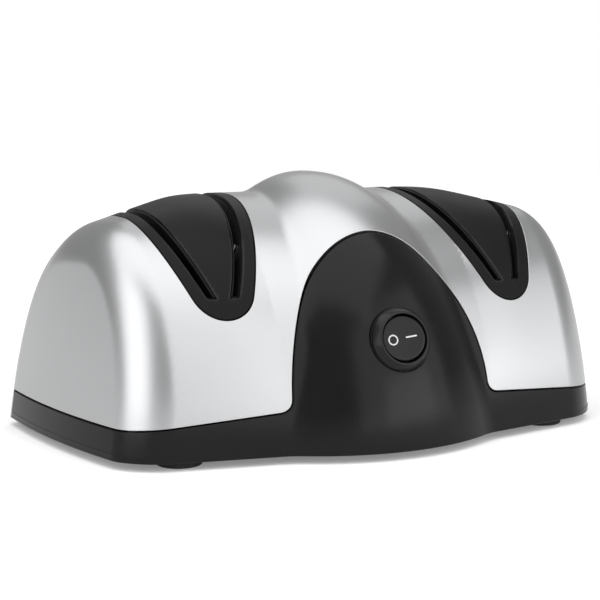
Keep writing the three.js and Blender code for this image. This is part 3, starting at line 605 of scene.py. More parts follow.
@dataclass(frozen=True)
class Sheet:
    """An open net of triangles on a surface, with its outside in front."""

    surface: Surface
    points: Array
    faces: Array

    @staticmethod
    def over(surface: Surface, grid: Array) -> "Sheet":
        """Makes a sheet from a grid of points with rows and columns."""
        rows, columns = grid.shape[:2]
        index = np.arange(rows * columns).reshape(rows, columns)
        a, b = index[:-1, :-1].ravel(), index[:-1, 1:].ravel()
        c, d = index[1:, 1:].ravel(), index[1:, :-1].ravel()
        faces = np.vstack([np.stack([a, b, c], 1), np.stack([a, c, d], 1)])
        return Sheet(surface, grid.reshape(-1, 3), faces).facing_out()

    def facing_out(self) -> "Sheet":
        """Returns the sheet with each face turned to its surface's outside."""
        corners = self.points[self.faces]
        across = np.cross(corners[:, 1] - corners[:, 0], corners[:, 2] - corners[:, 0])
        flip = np.einsum("ij,ij->i", across, self.surface.normals(corners.mean(1))) < 0
        faces = self.faces.copy()
        faces[flip] = faces[flip][:, ::-1]
        return Sheet(self.surface, self.points, faces)

    def onto_line(
        self, points: Array, values: Field, rounds: int = 5, least: float = 0.05, longest: float = 1.5
    ) -> Array:
        """Returns points slid along the surface onto the line where a field is zero.

        Args:
            points: points on the surface.
            values: the field.
            rounds: how often each point is moved.
            least: the least slope, squared, that a step is worked out from.
            longest: the most that the field may change in a step.
        """
        for _ in range(rounds):
            normals = self.surface.normals(points)
            slope = slope_of(values, points)
            slope = slope - np.einsum("ij,ij->i", slope, normals)[:, None] * normals
            size = np.maximum(np.einsum("ij,ij->i", slope, slope), least)
            step = np.clip(values(points) / size, -longest, longest)
            points = self.surface.settle(points - step[:, None] * slope)
        return points

    def trimmed(self, values: Field, inset: float = 0.0, snap: float = 0.22) -> "Sheet":
        """Cuts the sheet along the line where a field is zero.

        Args:
            values: a field, which is negative where the sheet stays.
            inset: how far inside that line the cut runs.
            snap: the share of a cut side within which its end moves onto the line.

        Returns:
            The part of the sheet that stays, with its new edge on the line.
        """
        line = shrunk(values, inset)
        points = self.points.copy()
        level = line(points)
        sides = sides_of(self.faces)
        crossing = level[sides[:, 0]] * level[sides[:, 1]] < 0
        reach = np.full(len(points), np.inf)
        length = np.linalg.norm(points[sides[:, 0]] - points[sides[:, 1]], axis=1)
        np.minimum.at(reach, sides[crossing].ravel(), np.repeat(length[crossing], 2))
        near = np.isfinite(reach) & (np.abs(level) < snap * reach)
        if near.any():
            points[near] = self.onto_line(points[near], line)
            level[near] = 0.0
        lowest, highest = level[self.faces].min(1), level[self.faces].max(1)
        middle = line(self.surface.settle(points[self.faces].mean(1)))
        whole = (highest <= 0) & ((lowest < 0) | (middle < 0))
        split = self.faces[(lowest < 0) & (highest > 0)]
        cut_sides = sides_of(split)
        cut_sides = cut_sides[level[cut_sides[:, 0]] * level[cut_sides[:, 1]] < 0]
        cut_sides = np.unique(np.sort(cut_sides, axis=1), axis=0)
        made: list[Sequence[int]] = self.faces[whole].tolist()
        if len(cut_sides):
            first, second = level[cut_sides[:, 0]], level[cut_sides[:, 1]]
            share = (first / (first - second))[:, None]
            fresh = points[cut_sides[:, 0]] * (1 - share) + points[cut_sides[:, 1]] * share
            fresh = self.onto_line(self.surface.settle(fresh), line)
            place = {(int(a), int(b)): len(points) + i for i, (a, b) in enumerate(cut_sides)}
            points = np.vstack([points, fresh])
            for face in split:
                ring = []
                for a, b in zip(face, np.roll(face, -1)):
                    if level[a] <= 0:
                        ring.append(int(a))
                    if level[a] * level[b] < 0:
                        ring.append(place[(int(min(a, b)), int(max(a, b)))])
                made += [(ring[0], ring[i], ring[i + 1]) for i in range(1, len(ring) - 1)]
        faces = np.array(made, dtype=int).reshape(-1, 3)
        used, faces = np.unique(faces, return_inverse=True)
        return Sheet(self.surface, points[used], faces.reshape(-1, 3))

    def edge(self) -> Array:
        """Returns the open edge as pairs of points, with the sheet on the left of each."""
        known = {(a, b) for a, b in sides_of(self.faces).tolist()}
        return np.array([pair for pair in known if (pair[1], pair[0]) not in known], dtype=int)

    def shell(self, wall: float, roll: float = 0.0, steps: int = 4, least: float = 0.7) -> Shape:
        """Thickens the sheet inwards to a closed shape.

        Args:
            wall: the thickness.
            roll: the radius by which the edge rolls over outside the cut line.
            steps: the number of bands in the roll.
            least: the least spread of an edge point's two outward ways that stretches its roll.

        Returns:
            The outer face, the rolled edge, the edge's wall and the inner face, as one shape.
        """
        normals = self.surface.normals(self.points)
        sides = self.edge()
        sides = sides[np.lexsort((sides[:, 1], sides[:, 0]))]
        along = unit(self.points[sides[:, 1]] - self.points[sides[:, 0]])
        out = np.zeros_like(self.points)
        count = np.zeros(len(self.points))
        for column in (0, 1):
            np.add.at(out, sides[:, column], unit(np.cross(along, normals[sides[:, column]])))
            np.add.at(count, sides[:, column], 1)
        rim = np.unique(sides)
        spread = np.linalg.norm(out[rim], axis=1) / count[rim]
        outward = unit(out[rim])
        stretch = (1 / np.maximum(spread, least))[:, None]
        position = np.full(len(self.points), -1)
        position[rim] = np.arange(len(rim))
        points, shades = [self.points], [normals]
        spots, up = self.points[rim], normals[rim]
        angles = [0.5 * math.pi * k / steps for k in range(1, steps + 1)] if roll else [0.5 * math.pi]
        for angle in angles:
            over, down = math.sin(angle), 1 - math.cos(angle)
            points.append(spots + roll * (over * stretch * outward - down * up))
            shades.append(math.cos(angle) * up + over * outward)
        points.append(spots + roll * stretch * outward - wall * up)
        shades.append(outward)
        points.append(self.points - wall * normals)
        shades.append(-normals)
        size, ring = len(self.points), len(rim)
        levels = [size + k * ring for k in range(len(angles) + 1)]
        inner = levels[-1] + ring
        faces = self.faces.tolist()
        for a, b, outer_a, outer_b in np.hstack([position[sides], sides]).tolist():
            left = [outer_a, *(level + a for level in levels), inner + outer_a]
            right = [outer_b, *(level + b for level in levels), inner + outer_b]
            faces += [(right[k], left[k], left[k + 1], right[k + 1]) for k in range(len(left) - 1)]
        faces += (self.faces[:, ::-1] + inner).tolist()
        return Shape(np.vstack(points), faces, np.vstack(shades))


@dataclass(frozen=True)
class Seat:
    """A place and a turn: an origin with the directions of right, up and out of the page."""

    origin: Spot = (0.0, 0.0, 0.0)
    right: Spot = (1.0, 0.0, 0.0)
    up: Spot = (0.0, 1.0, 0.0)
    out: Spot = (0.0, 0.0, 1.0)

    def put(self, points: Array) -> Array:
        """Returns local points in the frame."""
        return np.asarray(points, float) @ np.array([self.right, self.up, self.out]) + np.array(self.origin)


def filleted(
    outline: Sequence[Span], radius: float, steps: int = 4, flat: float = 1.45, most: float = 0.45
) -> list[Span]:
    """Rounds the inner corners of an open outline.

    Args:
        outline: the outline's points.
        radius: the radius of each corner.
        steps: the number of sides in a corner.
        flat: half the angle, in radians, over which a corner stays as it is.
        most: the most that a corner may take of its shorter side.

    Returns:
        The outline with its new points.
    """
    path = [np.array(point, float) for point in outline]
    made = [tuple(path[0])]
    for before, corner, after in zip(path, path[1:], path[2:]):
        back, ahead = before - corner, after - corner
        reach = min(np.linalg.norm(back), np.linalg.norm(ahead))
        back, ahead = back / np.linalg.norm(back), ahead / np.linalg.norm(ahead)
        half = 0.5 * math.acos(float(np.clip(back @ ahead, -1, 1)))
        if half > flat:
            made.append(tuple(corner))
            continue
        trim = min(radius / math.tan(half), most * reach)
        start, end = corner + back * trim, corner + ahead * trim
        for t in np.linspace(0, 1, steps + 1):
            made.append(tuple((1 - t) ** 2 * start + 2 * t * (1 - t) * corner + t * t * end))
    made.append(tuple(path[-1]))
    return made


def add_object(name: str, data: bpy.types.ID) -> bpy.types.Object:
    """Returns a new object in the scene that holds the data."""
    made = bpy.data.objects.new(name, data)
    bpy.context.scene.collection.objects.link(made)
    return made


def add_mesh(
    name: str, points: Array, faces: Sequence[Sequence[int]], normals: Array | None = None
) -> bpy.types.Object:
    """Makes a mesh object from points in millimetres.

    Args:
        name: the object's name.
        points: its points in millimetres.
        faces: its faces as lists of point numbers.
        normals: a normal for each point, or none for smooth faces with sharp creases.

    Returns:
        The new object, in the scene.
    """
    mesh = bpy.data.meshes.new(name)
    mesh.from_pydata((np.asarray(points) * METRES).tolist(), [], [list(face) for face in faces])
    mesh.update()
    mesh.shade_smooth()
    if normals is None:
        mesh.set_sharp_from_angle(angle=CREASE_ANGLE)
    else:
        mesh.normals_split_custom_set_from_vertices(unit(normals).tolist())
    return add_object(name, mesh)


def add_loft(name: str, rings: Sequence[Array], closed: bool = False) -> bpy.types.Object:
    """Makes a closed mesh from rings of points in millimetres, with its faces outwards.

    Args:
        name: the object's name.
        rings: rings with the same number of points, or with one point where they end on the axis.
        closed: whether the last ring joins the first. Otherwise a face closes each open end.

    Returns:
        The new object, in the scene.
    """
    sides = max(len(ring) for ring in rings)
    starts = np.cumsum([0, *(len(ring) for ring in rings)]).tolist()
    index = [[start + i % len(ring) for i in range(sides)] for start, ring in zip(starts, rings)]
    points = np.vstack(rings)
    faces = []
    for low, high in zip(index, index[1:] + index[:1] if closed else index[1:]):
        for i in range(sides):
            j = (i + 1) % sides
            faces.append(list(dict.fromkeys((low[i], low[j], high[j], high[i]))))
    ends = () if closed else (index[0][::-1], index[-1])
    faces += [end for end in ends if len(set(end)) > 1]
    volume = 0.0
    for face in faces:
        corners = points[face]
        volume += float(np.sum(np.cross(corners[1:-1], corners[2:]) @ corners[0]))
    return add_mesh(name, points, faces if volume > 0 else [face[::-1] for face in faces])


def circle(radius: float, height: float, sides: int) -> Array:
    """Returns a ring of points about the axis, or the one point on the axis where the radius is 0."""
    if radius < TINY:
        return np.array([[0.0, 0.0, height]])
    turns = 2 * math.pi * np.arange(sides) / sides
    return np.stack([radius * np.cos(turns), radius * np.sin(turns), np.full(sides, height)], 1)


def mark_wear(made: bpy.types.Object, shares: Array) -> None:
    """Stores each point's share, from 0 to 1, of slot-edge wear and painted highlight, for the finish."""
    made.data.attributes.new(WEAR_AND_HIGHLIGHT, "FLOAT", "POINT").data.foreach_set("value", shares.astype(np.float32))


def install(
    made: bpy.types.Object,
    finish: Finish,
    stands_for: Sequence[str] = (),
    carrier: Carrier = Carrier.CASING,
) -> None:
    """Dresses a piece, puts it on its body and hides the nodes that it stands for."""
    made.data.materials.append(finish.material())
    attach(made, carrier.value)
    if stands_for:
        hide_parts(*stands_for)
    log.info("%s: %d faces, %s", made.name, len(made.data.polygons), finish.name)


@dataclass(frozen=True)
class Turning:
    """A turned shape: an outline of radius and height, spun about the out direction of a seat."""

    outline: Sequence[Span]
    seat: Seat
    fillet: float = 0.3
    sides: int = 96

    def build(self, name: str) -> bpy.types.Object:
        """Returns the turned mesh. Its outline ends on the axis or meets itself."""
        closed = self.outline[0] == self.outline[-1]
        path = filleted(self.outline, self.fillet)[: -1 if closed else None]
        rings = [self.seat.put(circle(radius, height, self.sides)) for radius, height in path]
        return add_loft(name, rings, closed)


# Outer form


@dataclass(frozen=True)
class BodyForm(Surface):
    """The outer form: two swept wings and a centre dome, with a soft valley between them."""

    half_length: float = 116.0
    front_y: float = -61.95
    rear_y: float = 61.95
    foot_z: float = 3.0
    wing_top: float = 92.25
    wing_powers: Spot = (2.0, 2.0, 3.5)
    dome_top: float = 100.3
    dome_powers: Spot = (1.85, 2.0, 4.0)
    knee_x: float = 57.0
    knee_softness: float = 3.0
    wing_fall: float = 0.25
    crease_x: float = 43.0
    wing_front_y: float = -49.6
    wing_sweep: float = 0.189
    wing_ridge_y: float = 27.4
    ridge_sweep: float = 0.386
    end_taper: float = 24.7
    end_lean: float = 12.0
    end_bow: float = 0.1
    corner_radius: float = 13.0
    rear_corner_radius: float = 4.0
    corner_fade: float = 25.0
    rear_valley: float = 0.02
    dome_ridge_y: float = 21.6
    dome_base_half: float = 80.0
    dome_top_half: float = 57.0
    valley: float = 1.6
    spread: float = 0.55
    settle_rounds: int = 3
    least_slope: float = 0.1
    least_square: float = 1e-7

    def arch(
        self, y: Array, z: Array, ridge: Amount, front: Amount, rear: Amount, height: Amount,
        powers: Spot, side: Amount = 0.0, side_slope: Amount = 0.0,
    ) -> Array:
        """Returns the distance from an arch that runs from front to rear over a ridge.

        Args:
            y: depth of the points.
            z: height of the points.
            ridge: depth of the ridge.
            front: reach of the arch ahead of the ridge.
            rear: reach of the arch behind it.
            height: height of the ridge above the foot.
            powers: exponents of the height, of the depth ahead and of the depth behind.
            side: what the width adds to the level.
            side_slope: the slope of that.

        Returns:
            A distance that is negative inside.
        """
        rise, *depth = powers
        ahead = y < ridge
        reach = np.where(ahead, front, rear)
        power = np.where(ahead, *depth)
        t = np.maximum(z - self.foot_z, 0) / height
        s = np.abs(y - ridge) / reach
        slope_z = rise * np.power(t, rise - 1) / height
        slope_y = power * np.power(s, power - 1) / reach
        level = np.power(t, rise) + np.power(s, power) + side - 1
        return level / np.sqrt(slope_y**2 + slope_z**2 + side_slope**2 + self.least_square)

    def wing(self, points: Array) -> Array:
        """Returns the distance from the wings."""
        reach, y, z = np.abs(points[:, 0]), points[:, 1], points[:, 2]
        full = self.wing_top - self.foot_z
        past = (reach - self.knee_x) / self.knee_softness
        height = full - self.wing_fall * self.knee_softness * np.logaddexp(0, past)
        ridge = self.wing_ridge_y - self.ridge_sweep * np.maximum(reach - self.crease_x, 0)
        front = ridge - self.wing_front_y - self.wing_sweep * (reach - self.crease_x)
        arch = self.arch(y, z, ridge, front, self.rear_y - ridge, height, self.wing_powers)
        t = (z - self.foot_z) / full
        back = (self.rear_y - y) / (self.rear_y - self.front_y)
        end_x = self.half_length - self.end_taper * back**2 - self.end_lean * t - self.end_bow * t * t
        lean = (self.end_lean + 2 * self.end_bow * t) / full
        end = (reach - end_x) / np.hypot(1, lean)
        fade = np.clip((self.rear_y - y) / self.corner_fade, 0, 1)
        radius = self.rear_corner_radius + (self.corner_radius - self.rear_corner_radius) * fade
        edge = np.hypot(np.maximum(arch + radius, 0), np.maximum(end + radius, 0))
        return np.minimum(np.maximum(arch, end) + radius, 0) + edge - radius

    def dome(self, points: Array) -> Array:
        """Returns the distance from the dome."""
        x, y, z = points[:, 0], points[:, 1], points[:, 2]
        ridge, height = self.dome_ridge_y, self.dome_top - self.foot_z
        front, rear = ridge - self.front_y, self.rear_y - ridge
        t = np.maximum(z - self.foot_z, 0) / height
        half = self.dome_base_half + (self.dome_top_half - self.dome_base_half) * t
        side, slope = (x / half) ** 2, 2 * x / half**2
        return self.arch(y, z, ridge, front, rear, height, self.dome_powers, side, slope)

    def distance(self, points: Array) -> Array:
        """Returns the distance from the whole form, negative inside."""
        wing, dome = self.wing(points), self.dome(points)
        soft = self.valley * np.clip((self.rear_y - points[:, 1]) / self.corner_fade, self.rear_valley, 1)
        near = np.maximum(soft - np.abs(wing - dome), 0) / soft
        return np.minimum(wing, dome) - near**2 * soft / 4

    def settle(self, points: Array) -> Array:
        """Returns the points moved onto the form."""
        for _ in range(self.settle_rounds):
            slope = slope_of(self.distance, points)
            size = np.maximum(np.einsum("ij,ij->i", slope, slope), self.least_slope)
            points = points - (self.distance(points) / size)[:, None] * slope
        return points

    def normals(self, points: Array) -> Array:
        """Returns the form's outward normals."""
        return unit(slope_of(self.distance, points))

    def cast(self, starts: Array, aims: Array, halvings: int = 36) -> Array:
        """Returns where rays from inside, through aims that lie outside, meet the form."""
        low, high = np.zeros(len(aims)), np.full(len(aims), 2.0)
        for _ in range(halvings):
            middle = (low + high) / 2
            inside = self.distance(starts + (aims - starts) * middle[:, None]) < 0
            low, high = np.where(inside, middle, low), np.where(inside, high, middle)
        return starts + (aims - starts) * low[:, None]

    def whole(self, columns: int = 130, rows: int = 74, rings: int = 54, merge: int = 200) -> Sheet:
        """Returns the whole form above its foot, cast through a half box from the middle of the base.

        Args:
            columns: the net's columns from left to right, which lie closer towards the ends.
            rows: its rows from front to rear.
            rings: its rings up the sides.
            merge: steps in a millimetre, by which points that the nets share are found.

        Returns:
            The form as one sheet.
        """
        box = np.array([self.half_length, self.rear_y, self.wing_top - self.foot_z])
        turn = math.pi / 2 * self.spread
        u = np.sin(np.linspace(-1, 1, columns + 1) * turn) / math.sin(turn)
        v = np.linspace(-1, 1, rows + 1)
        rim = [(a, -1.0) for a in u[:-1]] + [(1.0, b) for b in v[:-1]]
        rim += [(a, 1.0) for a in u[:0:-1]] + [(-1.0, b) for b in v[:0:-1]]
        wall = np.array([[(a, b, c) for a, b in rim + rim[:1]] for c in np.linspace(0, 1, rings + 1)])
        top = np.array([[(a, b, 1.0) for b in v] for a in u])
        start = np.array([[0.0, 0.0, self.foot_z]])
        nets = []
        for net in (wall, top):
            aims = start + net.reshape(-1, 3) * box
            spots = self.cast(np.repeat(start, len(aims), 0), aims)
            nets.append(Sheet.over(self, spots.reshape(net.shape)))
        points = np.vstack([net.points for net in nets])
        faces = np.vstack([nets[0].faces, nets[1].faces + len(nets[0].points)])
        keys = np.round(points * merge).astype(int)
        _, first, same = np.unique(keys, axis=0, return_index=True, return_inverse=True)
        return Sheet(self, points[first], same.ravel()[faces])

    def band(self, widths: Span, angles: Span, columns: int, rows: int) -> Sheet:
        """Returns a strip over the form from front to rear, between two widths and two angles."""
        turns = np.radians(np.linspace(*angles, rows))
        x, turn = np.meshgrid(np.linspace(*widths, columns), turns, indexing="ij")
        start = np.stack([x.ravel(), np.zeros(x.size), np.full(x.size, self.foot_z)], 1)
        aim = np.stack([np.zeros(x.size), -np.cos(turn.ravel()), np.sin(turn.ravel())], 1)
        spots = self.cast(start, start + 2 * FAR * aim)
        return Sheet.over(self, spots.reshape(*x.shape, 3))


FORM = BodyForm()


# Cut lines on the form


@dataclass(frozen=True)
class HousingLine:
    """The line between the silver shell and the black housing: a base band and a tall arch."""

    band_end_z: float = 14.6
    band_crease_z: float = 19.2
    band_corner_x: float = 98.0
    arch_half: float = 41.5
    arch_foot_z: float = 20.0
    arch_top_z: float = 80.7
    arch_power: float = 1.92
    fillet: float = 4.0
    arch_back_y: float = 5.0
    rear_y: float = 57.0
    least_slope: float = 1e-3

    def distance(self, points: Array) -> Array:
        """Returns the distance from the black housing's part of the form, negative inside."""
        x, y, z = np.abs(points[:, 0]), points[:, 1], points[:, 2]
        reach = np.clip(x, FORM.crease_x, self.band_corner_x) - FORM.crease_x
        grade = (self.band_end_z - self.band_crease_z) / (self.band_corner_x - FORM.crease_x)
        band = z - self.band_crease_z - grade * reach
        s, t = x / self.arch_half, np.maximum(z - self.arch_foot_z, 0) / (self.arch_top_z - self.arch_foot_z)
        power, rise = self.arch_power, self.arch_top_z - self.arch_foot_z
        slope = power * np.hypot(s ** (power - 1) / self.arch_half, t ** (power - 1) / rise)
        arch = (s**power + t**power - 1) / np.maximum(slope, self.least_slope)
        front = round_union(np.maximum(arch, y - self.arch_back_y), band, self.fillet)
        return np.maximum(front, y - self.rear_y)


@dataclass(frozen=True)
class GuideLine:
    """The V of a guide insert, seen from the front: straight sides that run up from a round bottom."""

    side: Side
    centre_x: float = WHEEL[0]
    centre_z: float = 64.0
    radius: float = 12.5
    tilt: float = GUIDE_TILT

    def distance(self, points: Array) -> Array:
        """Returns the distance from the V, negative inside."""
        across = np.abs(points[:, 0] * self.side.value - self.centre_x)
        up = points[:, 2] - self.centre_z
        out = across * math.cos(self.tilt) - up * math.sin(self.tilt)
        along = across * math.sin(self.tilt) + up * math.cos(self.tilt)
        return np.where(along >= 0, out, np.hypot(across, up)) - self.radius


@dataclass(frozen=True)
class SlotLine:
    """A slot of a guide insert, which leans from the insert's middle and widens a little as it rises."""

    side: Side
    place: SlotPlace
    centre_x: float = WHEEL[0]
    floor_z: float = 59.0
    offset: float = 4.1
    half_width: float = 1.85
    flare: float = 0.02
    tilt: float = GUIDE_TILT
    end_radius: float = 0.5

    def across(self, points: Array) -> Array:
        """Returns how far points lie from the slot's middle, sideways, away from the wheel."""
        reach = self.place.value * (points[:, 0] * self.side.value - self.centre_x)
        return reach - self.offset - (points[:, 2] - self.floor_z) * math.tan(self.tilt)

    def distance(self, points: Array) -> Array:
        """Returns the distance from the slot, negative inside."""
        rise = points[:, 2] - self.floor_z
        half = self.half_width + self.flare * np.maximum(rise, 0)
        wide = (np.abs(self.across(points)) - half) * math.cos(self.tilt)
        return round_overlap(wide, -rise, self.end_radius)

    def spot(self, y: float, rise: float, across: float) -> Spot:
        """Returns a place in the slot at a depth, a height over its floor and a distance from its middle."""
        out = self.offset + rise * math.tan(self.tilt) + across
        out += math.copysign(self.flare, across) * rise
        return (self.side.value * (self.centre_x + self.place.value * out), y, self.floor_z + rise)


def barrel(centre: Span, radius: float, axes: tuple[int, int]) -> Field:
    """Returns the distance from an endless cylinder along the axis that isn't named."""

    def distance(points: Array) -> Array:
        """Returns the distance of points from the cylinder."""
        return np.hypot(points[:, axes[0]] - centre[0], points[:, axes[1]] - centre[1]) - radius

    return distance


@dataclass(frozen=True)
class SwitchSeat:
    """The round seat of the switch in the arch, and its leaning axis."""

    y: float = -53.2
    z: float = 43.0
    lean: float = math.radians(18.0)
    pad_radius: float = 12.12
    body_radius: float = 9.8

    def seat(self, turn: float = 0.0) -> Seat:
        """Returns the switch's frame, turned about its upright axis by an angle in radians."""
        c, s = math.cos(self.lean), math.sin(self.lean)
        out, up = np.array([0.0, -c, s]), np.array([0.0, s, c])
        right = np.array([1.0, 0.0, 0.0])
        turned_right = right * math.cos(turn) + out * math.sin(turn)
        turned_out = out * math.cos(turn) - right * math.sin(turn)
        return Seat((0.0, self.y, self.z), tuple(turned_right), tuple(up), tuple(turned_out))

    def hole(self, points: Array) -> Array:
        """Returns the distance from the seat's cylinder."""
        seat = self.seat()
        local = points - np.array(seat.origin)
        across = np.hypot(local @ np.array(seat.right), local @ np.array(seat.up))
        return np.where(points[:, 1] < 0, across - self.pad_radius, FAR)


# Sub-assemblies


def corners(x: float, rows: Span) -> list[tuple[str, float, float]]:
    """Returns the name, the x and the y of four places: front and rear at the left, then at the right."""
    places = tuple(zip(("front", "rear"), rows))
    return [(f"{name}_{side.word}", side.value * x, y) for side in Side for name, y in places]


SCREW_PLACES = corners(93.0, (-22.0, 46.0))
FOOT_PLACES = corners(78.0, (-30.0, 42.0))


@dataclass(frozen=True)
class UpperShell:
    """The silver shell over both wings and the dome."""

    wall: float = 2.5
    edge_roll: float = 0.2
    gland_hole: float = 6.3
    line: HousingLine = field(default_factory=HousingLine)

    def build(self, form: Sheet) -> None:
        """Cuts the shell out of the form and dresses it."""
        hole = barrel(INLET, self.gland_hole, (0, 2))
        lines = [outside(self.line.distance), above(SKIN_FOOT_Z)]
        lines += [outside(GuideLine(side).distance) for side in Side]
        lines.append(lambda points: np.where(points[:, 1] > 0, -hole(points), -FAR))
        for line in lines:
            form = form.trimmed(line, self.edge_roll)
        install(form.shell(self.wall, self.edge_roll).piece("silver_shell"), SILVER, ["upper_shell"])


@dataclass(frozen=True)
class LowerHousing:
    """The black housing: base band, arch panel, floor and the switch's pad."""

    wall: float = 2.5
    seam: float = 0.5
    hole_roll: float = 0.3
    floor_z: float = 3.0
    floor_thickness: float = 2.5
    floor_roll: float = 0.3
    floor_inset: float = 0.45
    rear_inset: float = 2.8
    vent_count: int = 7
    vent_pitch: float = 6.0
    vent_width: float = 2.6
    vent_length: float = 34.0
    vent_y: float = 8.5
    well_radius: float = 3.5
    well_depth: float = 2.4
    well_start: float = 0.5
    well_floor: float = 2.0
    well_wall: float = 1.6
    gap: float = 0.05
    pad_gap: float = 0.3
    pad_depth: float = 5.0
    line: HousingLine = field(default_factory=HousingLine)
    switch: SwitchSeat = field(default_factory=SwitchSeat)

    def build(self, form: Sheet) -> None:
        """Makes the skin, the floor, the screw wells and the pad."""
        skin = form.trimmed(shrunk(self.line.distance, self.seam), ROLL).trimmed(above(SKIN_FOOT_Z), ROLL)
        skin = skin.trimmed(outside(self.switch.hole), self.hole_roll)
        install(skin.shell(self.wall, ROLL).piece("black_band_and_arch"), BLACK, ["lower_housing"])
        install(self.floor().piece("black_floor"), BLACK)
        self.wells()
        self.pad()

    def floor_area(self, points: Array) -> Array:
        """Returns the distance from the floor's outline, which keeps off the shell's wall at the rear."""
        depth = FORM.distance(points)
        behind = points[:, 1] - self.line.rear_y + self.seam
        return np.maximum(depth + self.floor_inset, np.minimum(behind, depth + self.rear_inset))

    def vents(self, points: Array) -> Array:
        """Returns the distance from the row of vents under the motor."""
        half = (self.vent_count - 1) / 2 * self.vent_pitch
        x = points[:, 0] - np.clip(np.round(points[:, 0] / self.vent_pitch) * self.vent_pitch, -half, half)
        y = np.maximum(np.abs(points[:, 1] - self.vent_y) - (self.vent_length - self.vent_width) / 2, 0)
        return np.hypot(x, y) - self.vent_width / 2

    def floor(self, columns: int = 184, rows: int = 101) -> Shape:
        """Returns the floor with its vents and the mouths of its screw wells."""
        reach = FORM.half_length + 1
        xs = np.linspace(-reach, reach, columns)
        ys = np.linspace(FORM.front_y - 1, FORM.rear_y + 1, rows)
        x, y = np.meshgrid(xs, ys, indexing="ij")
        plane = PlaneSurface((0.0, 0.0, self.floor_z), (0.0, 0.0, -1.0))
        sheet = Sheet.over(plane, np.stack([x, y, np.full_like(x, self.floor_z)], 2))
        sheet = sheet.trimmed(self.floor_area).trimmed(outside(self.vents), self.floor_roll)
        for _, *place in SCREW_PLACES:
            sheet = sheet.trimmed(outside(barrel(tuple(place), self.well_radius, (0, 1))), self.floor_roll)
        return sheet.shell(self.floor_thickness, self.floor_roll, steps=3)

    def wells(self) -> None:
        """Makes the cup of each screw well."""
        inner, outer = self.well_radius + self.gap, self.well_radius + self.well_wall
        low, top, end = self.well_start, self.well_depth, self.well_depth + self.well_floor
        outline = ((0.0, top), (inner, top), (inner, low), (outer, low), (outer, end), (0.0, end))
        for corner, x, y in SCREW_PLACES:
            cup = Turning(outline, Seat((x, y, self.floor_z)), fillet=0.1, sides=40)
            install(cup.build(f"screw_well_{corner}"), BLACK)

    def pad(self) -> None:
        """Makes the flat ring that the switch's bezel sits on."""
        outer, inner = self.switch.pad_radius - self.gap, self.switch.body_radius + self.pad_gap
        low = -self.pad_depth
        outline = ((inner, 0.0), (outer, 0.0), (outer, low), (inner, low), (inner, 0.0))
        install(Turning(outline, self.switch.seat(), fillet=0.2).build("switch_pad"), BLACK)


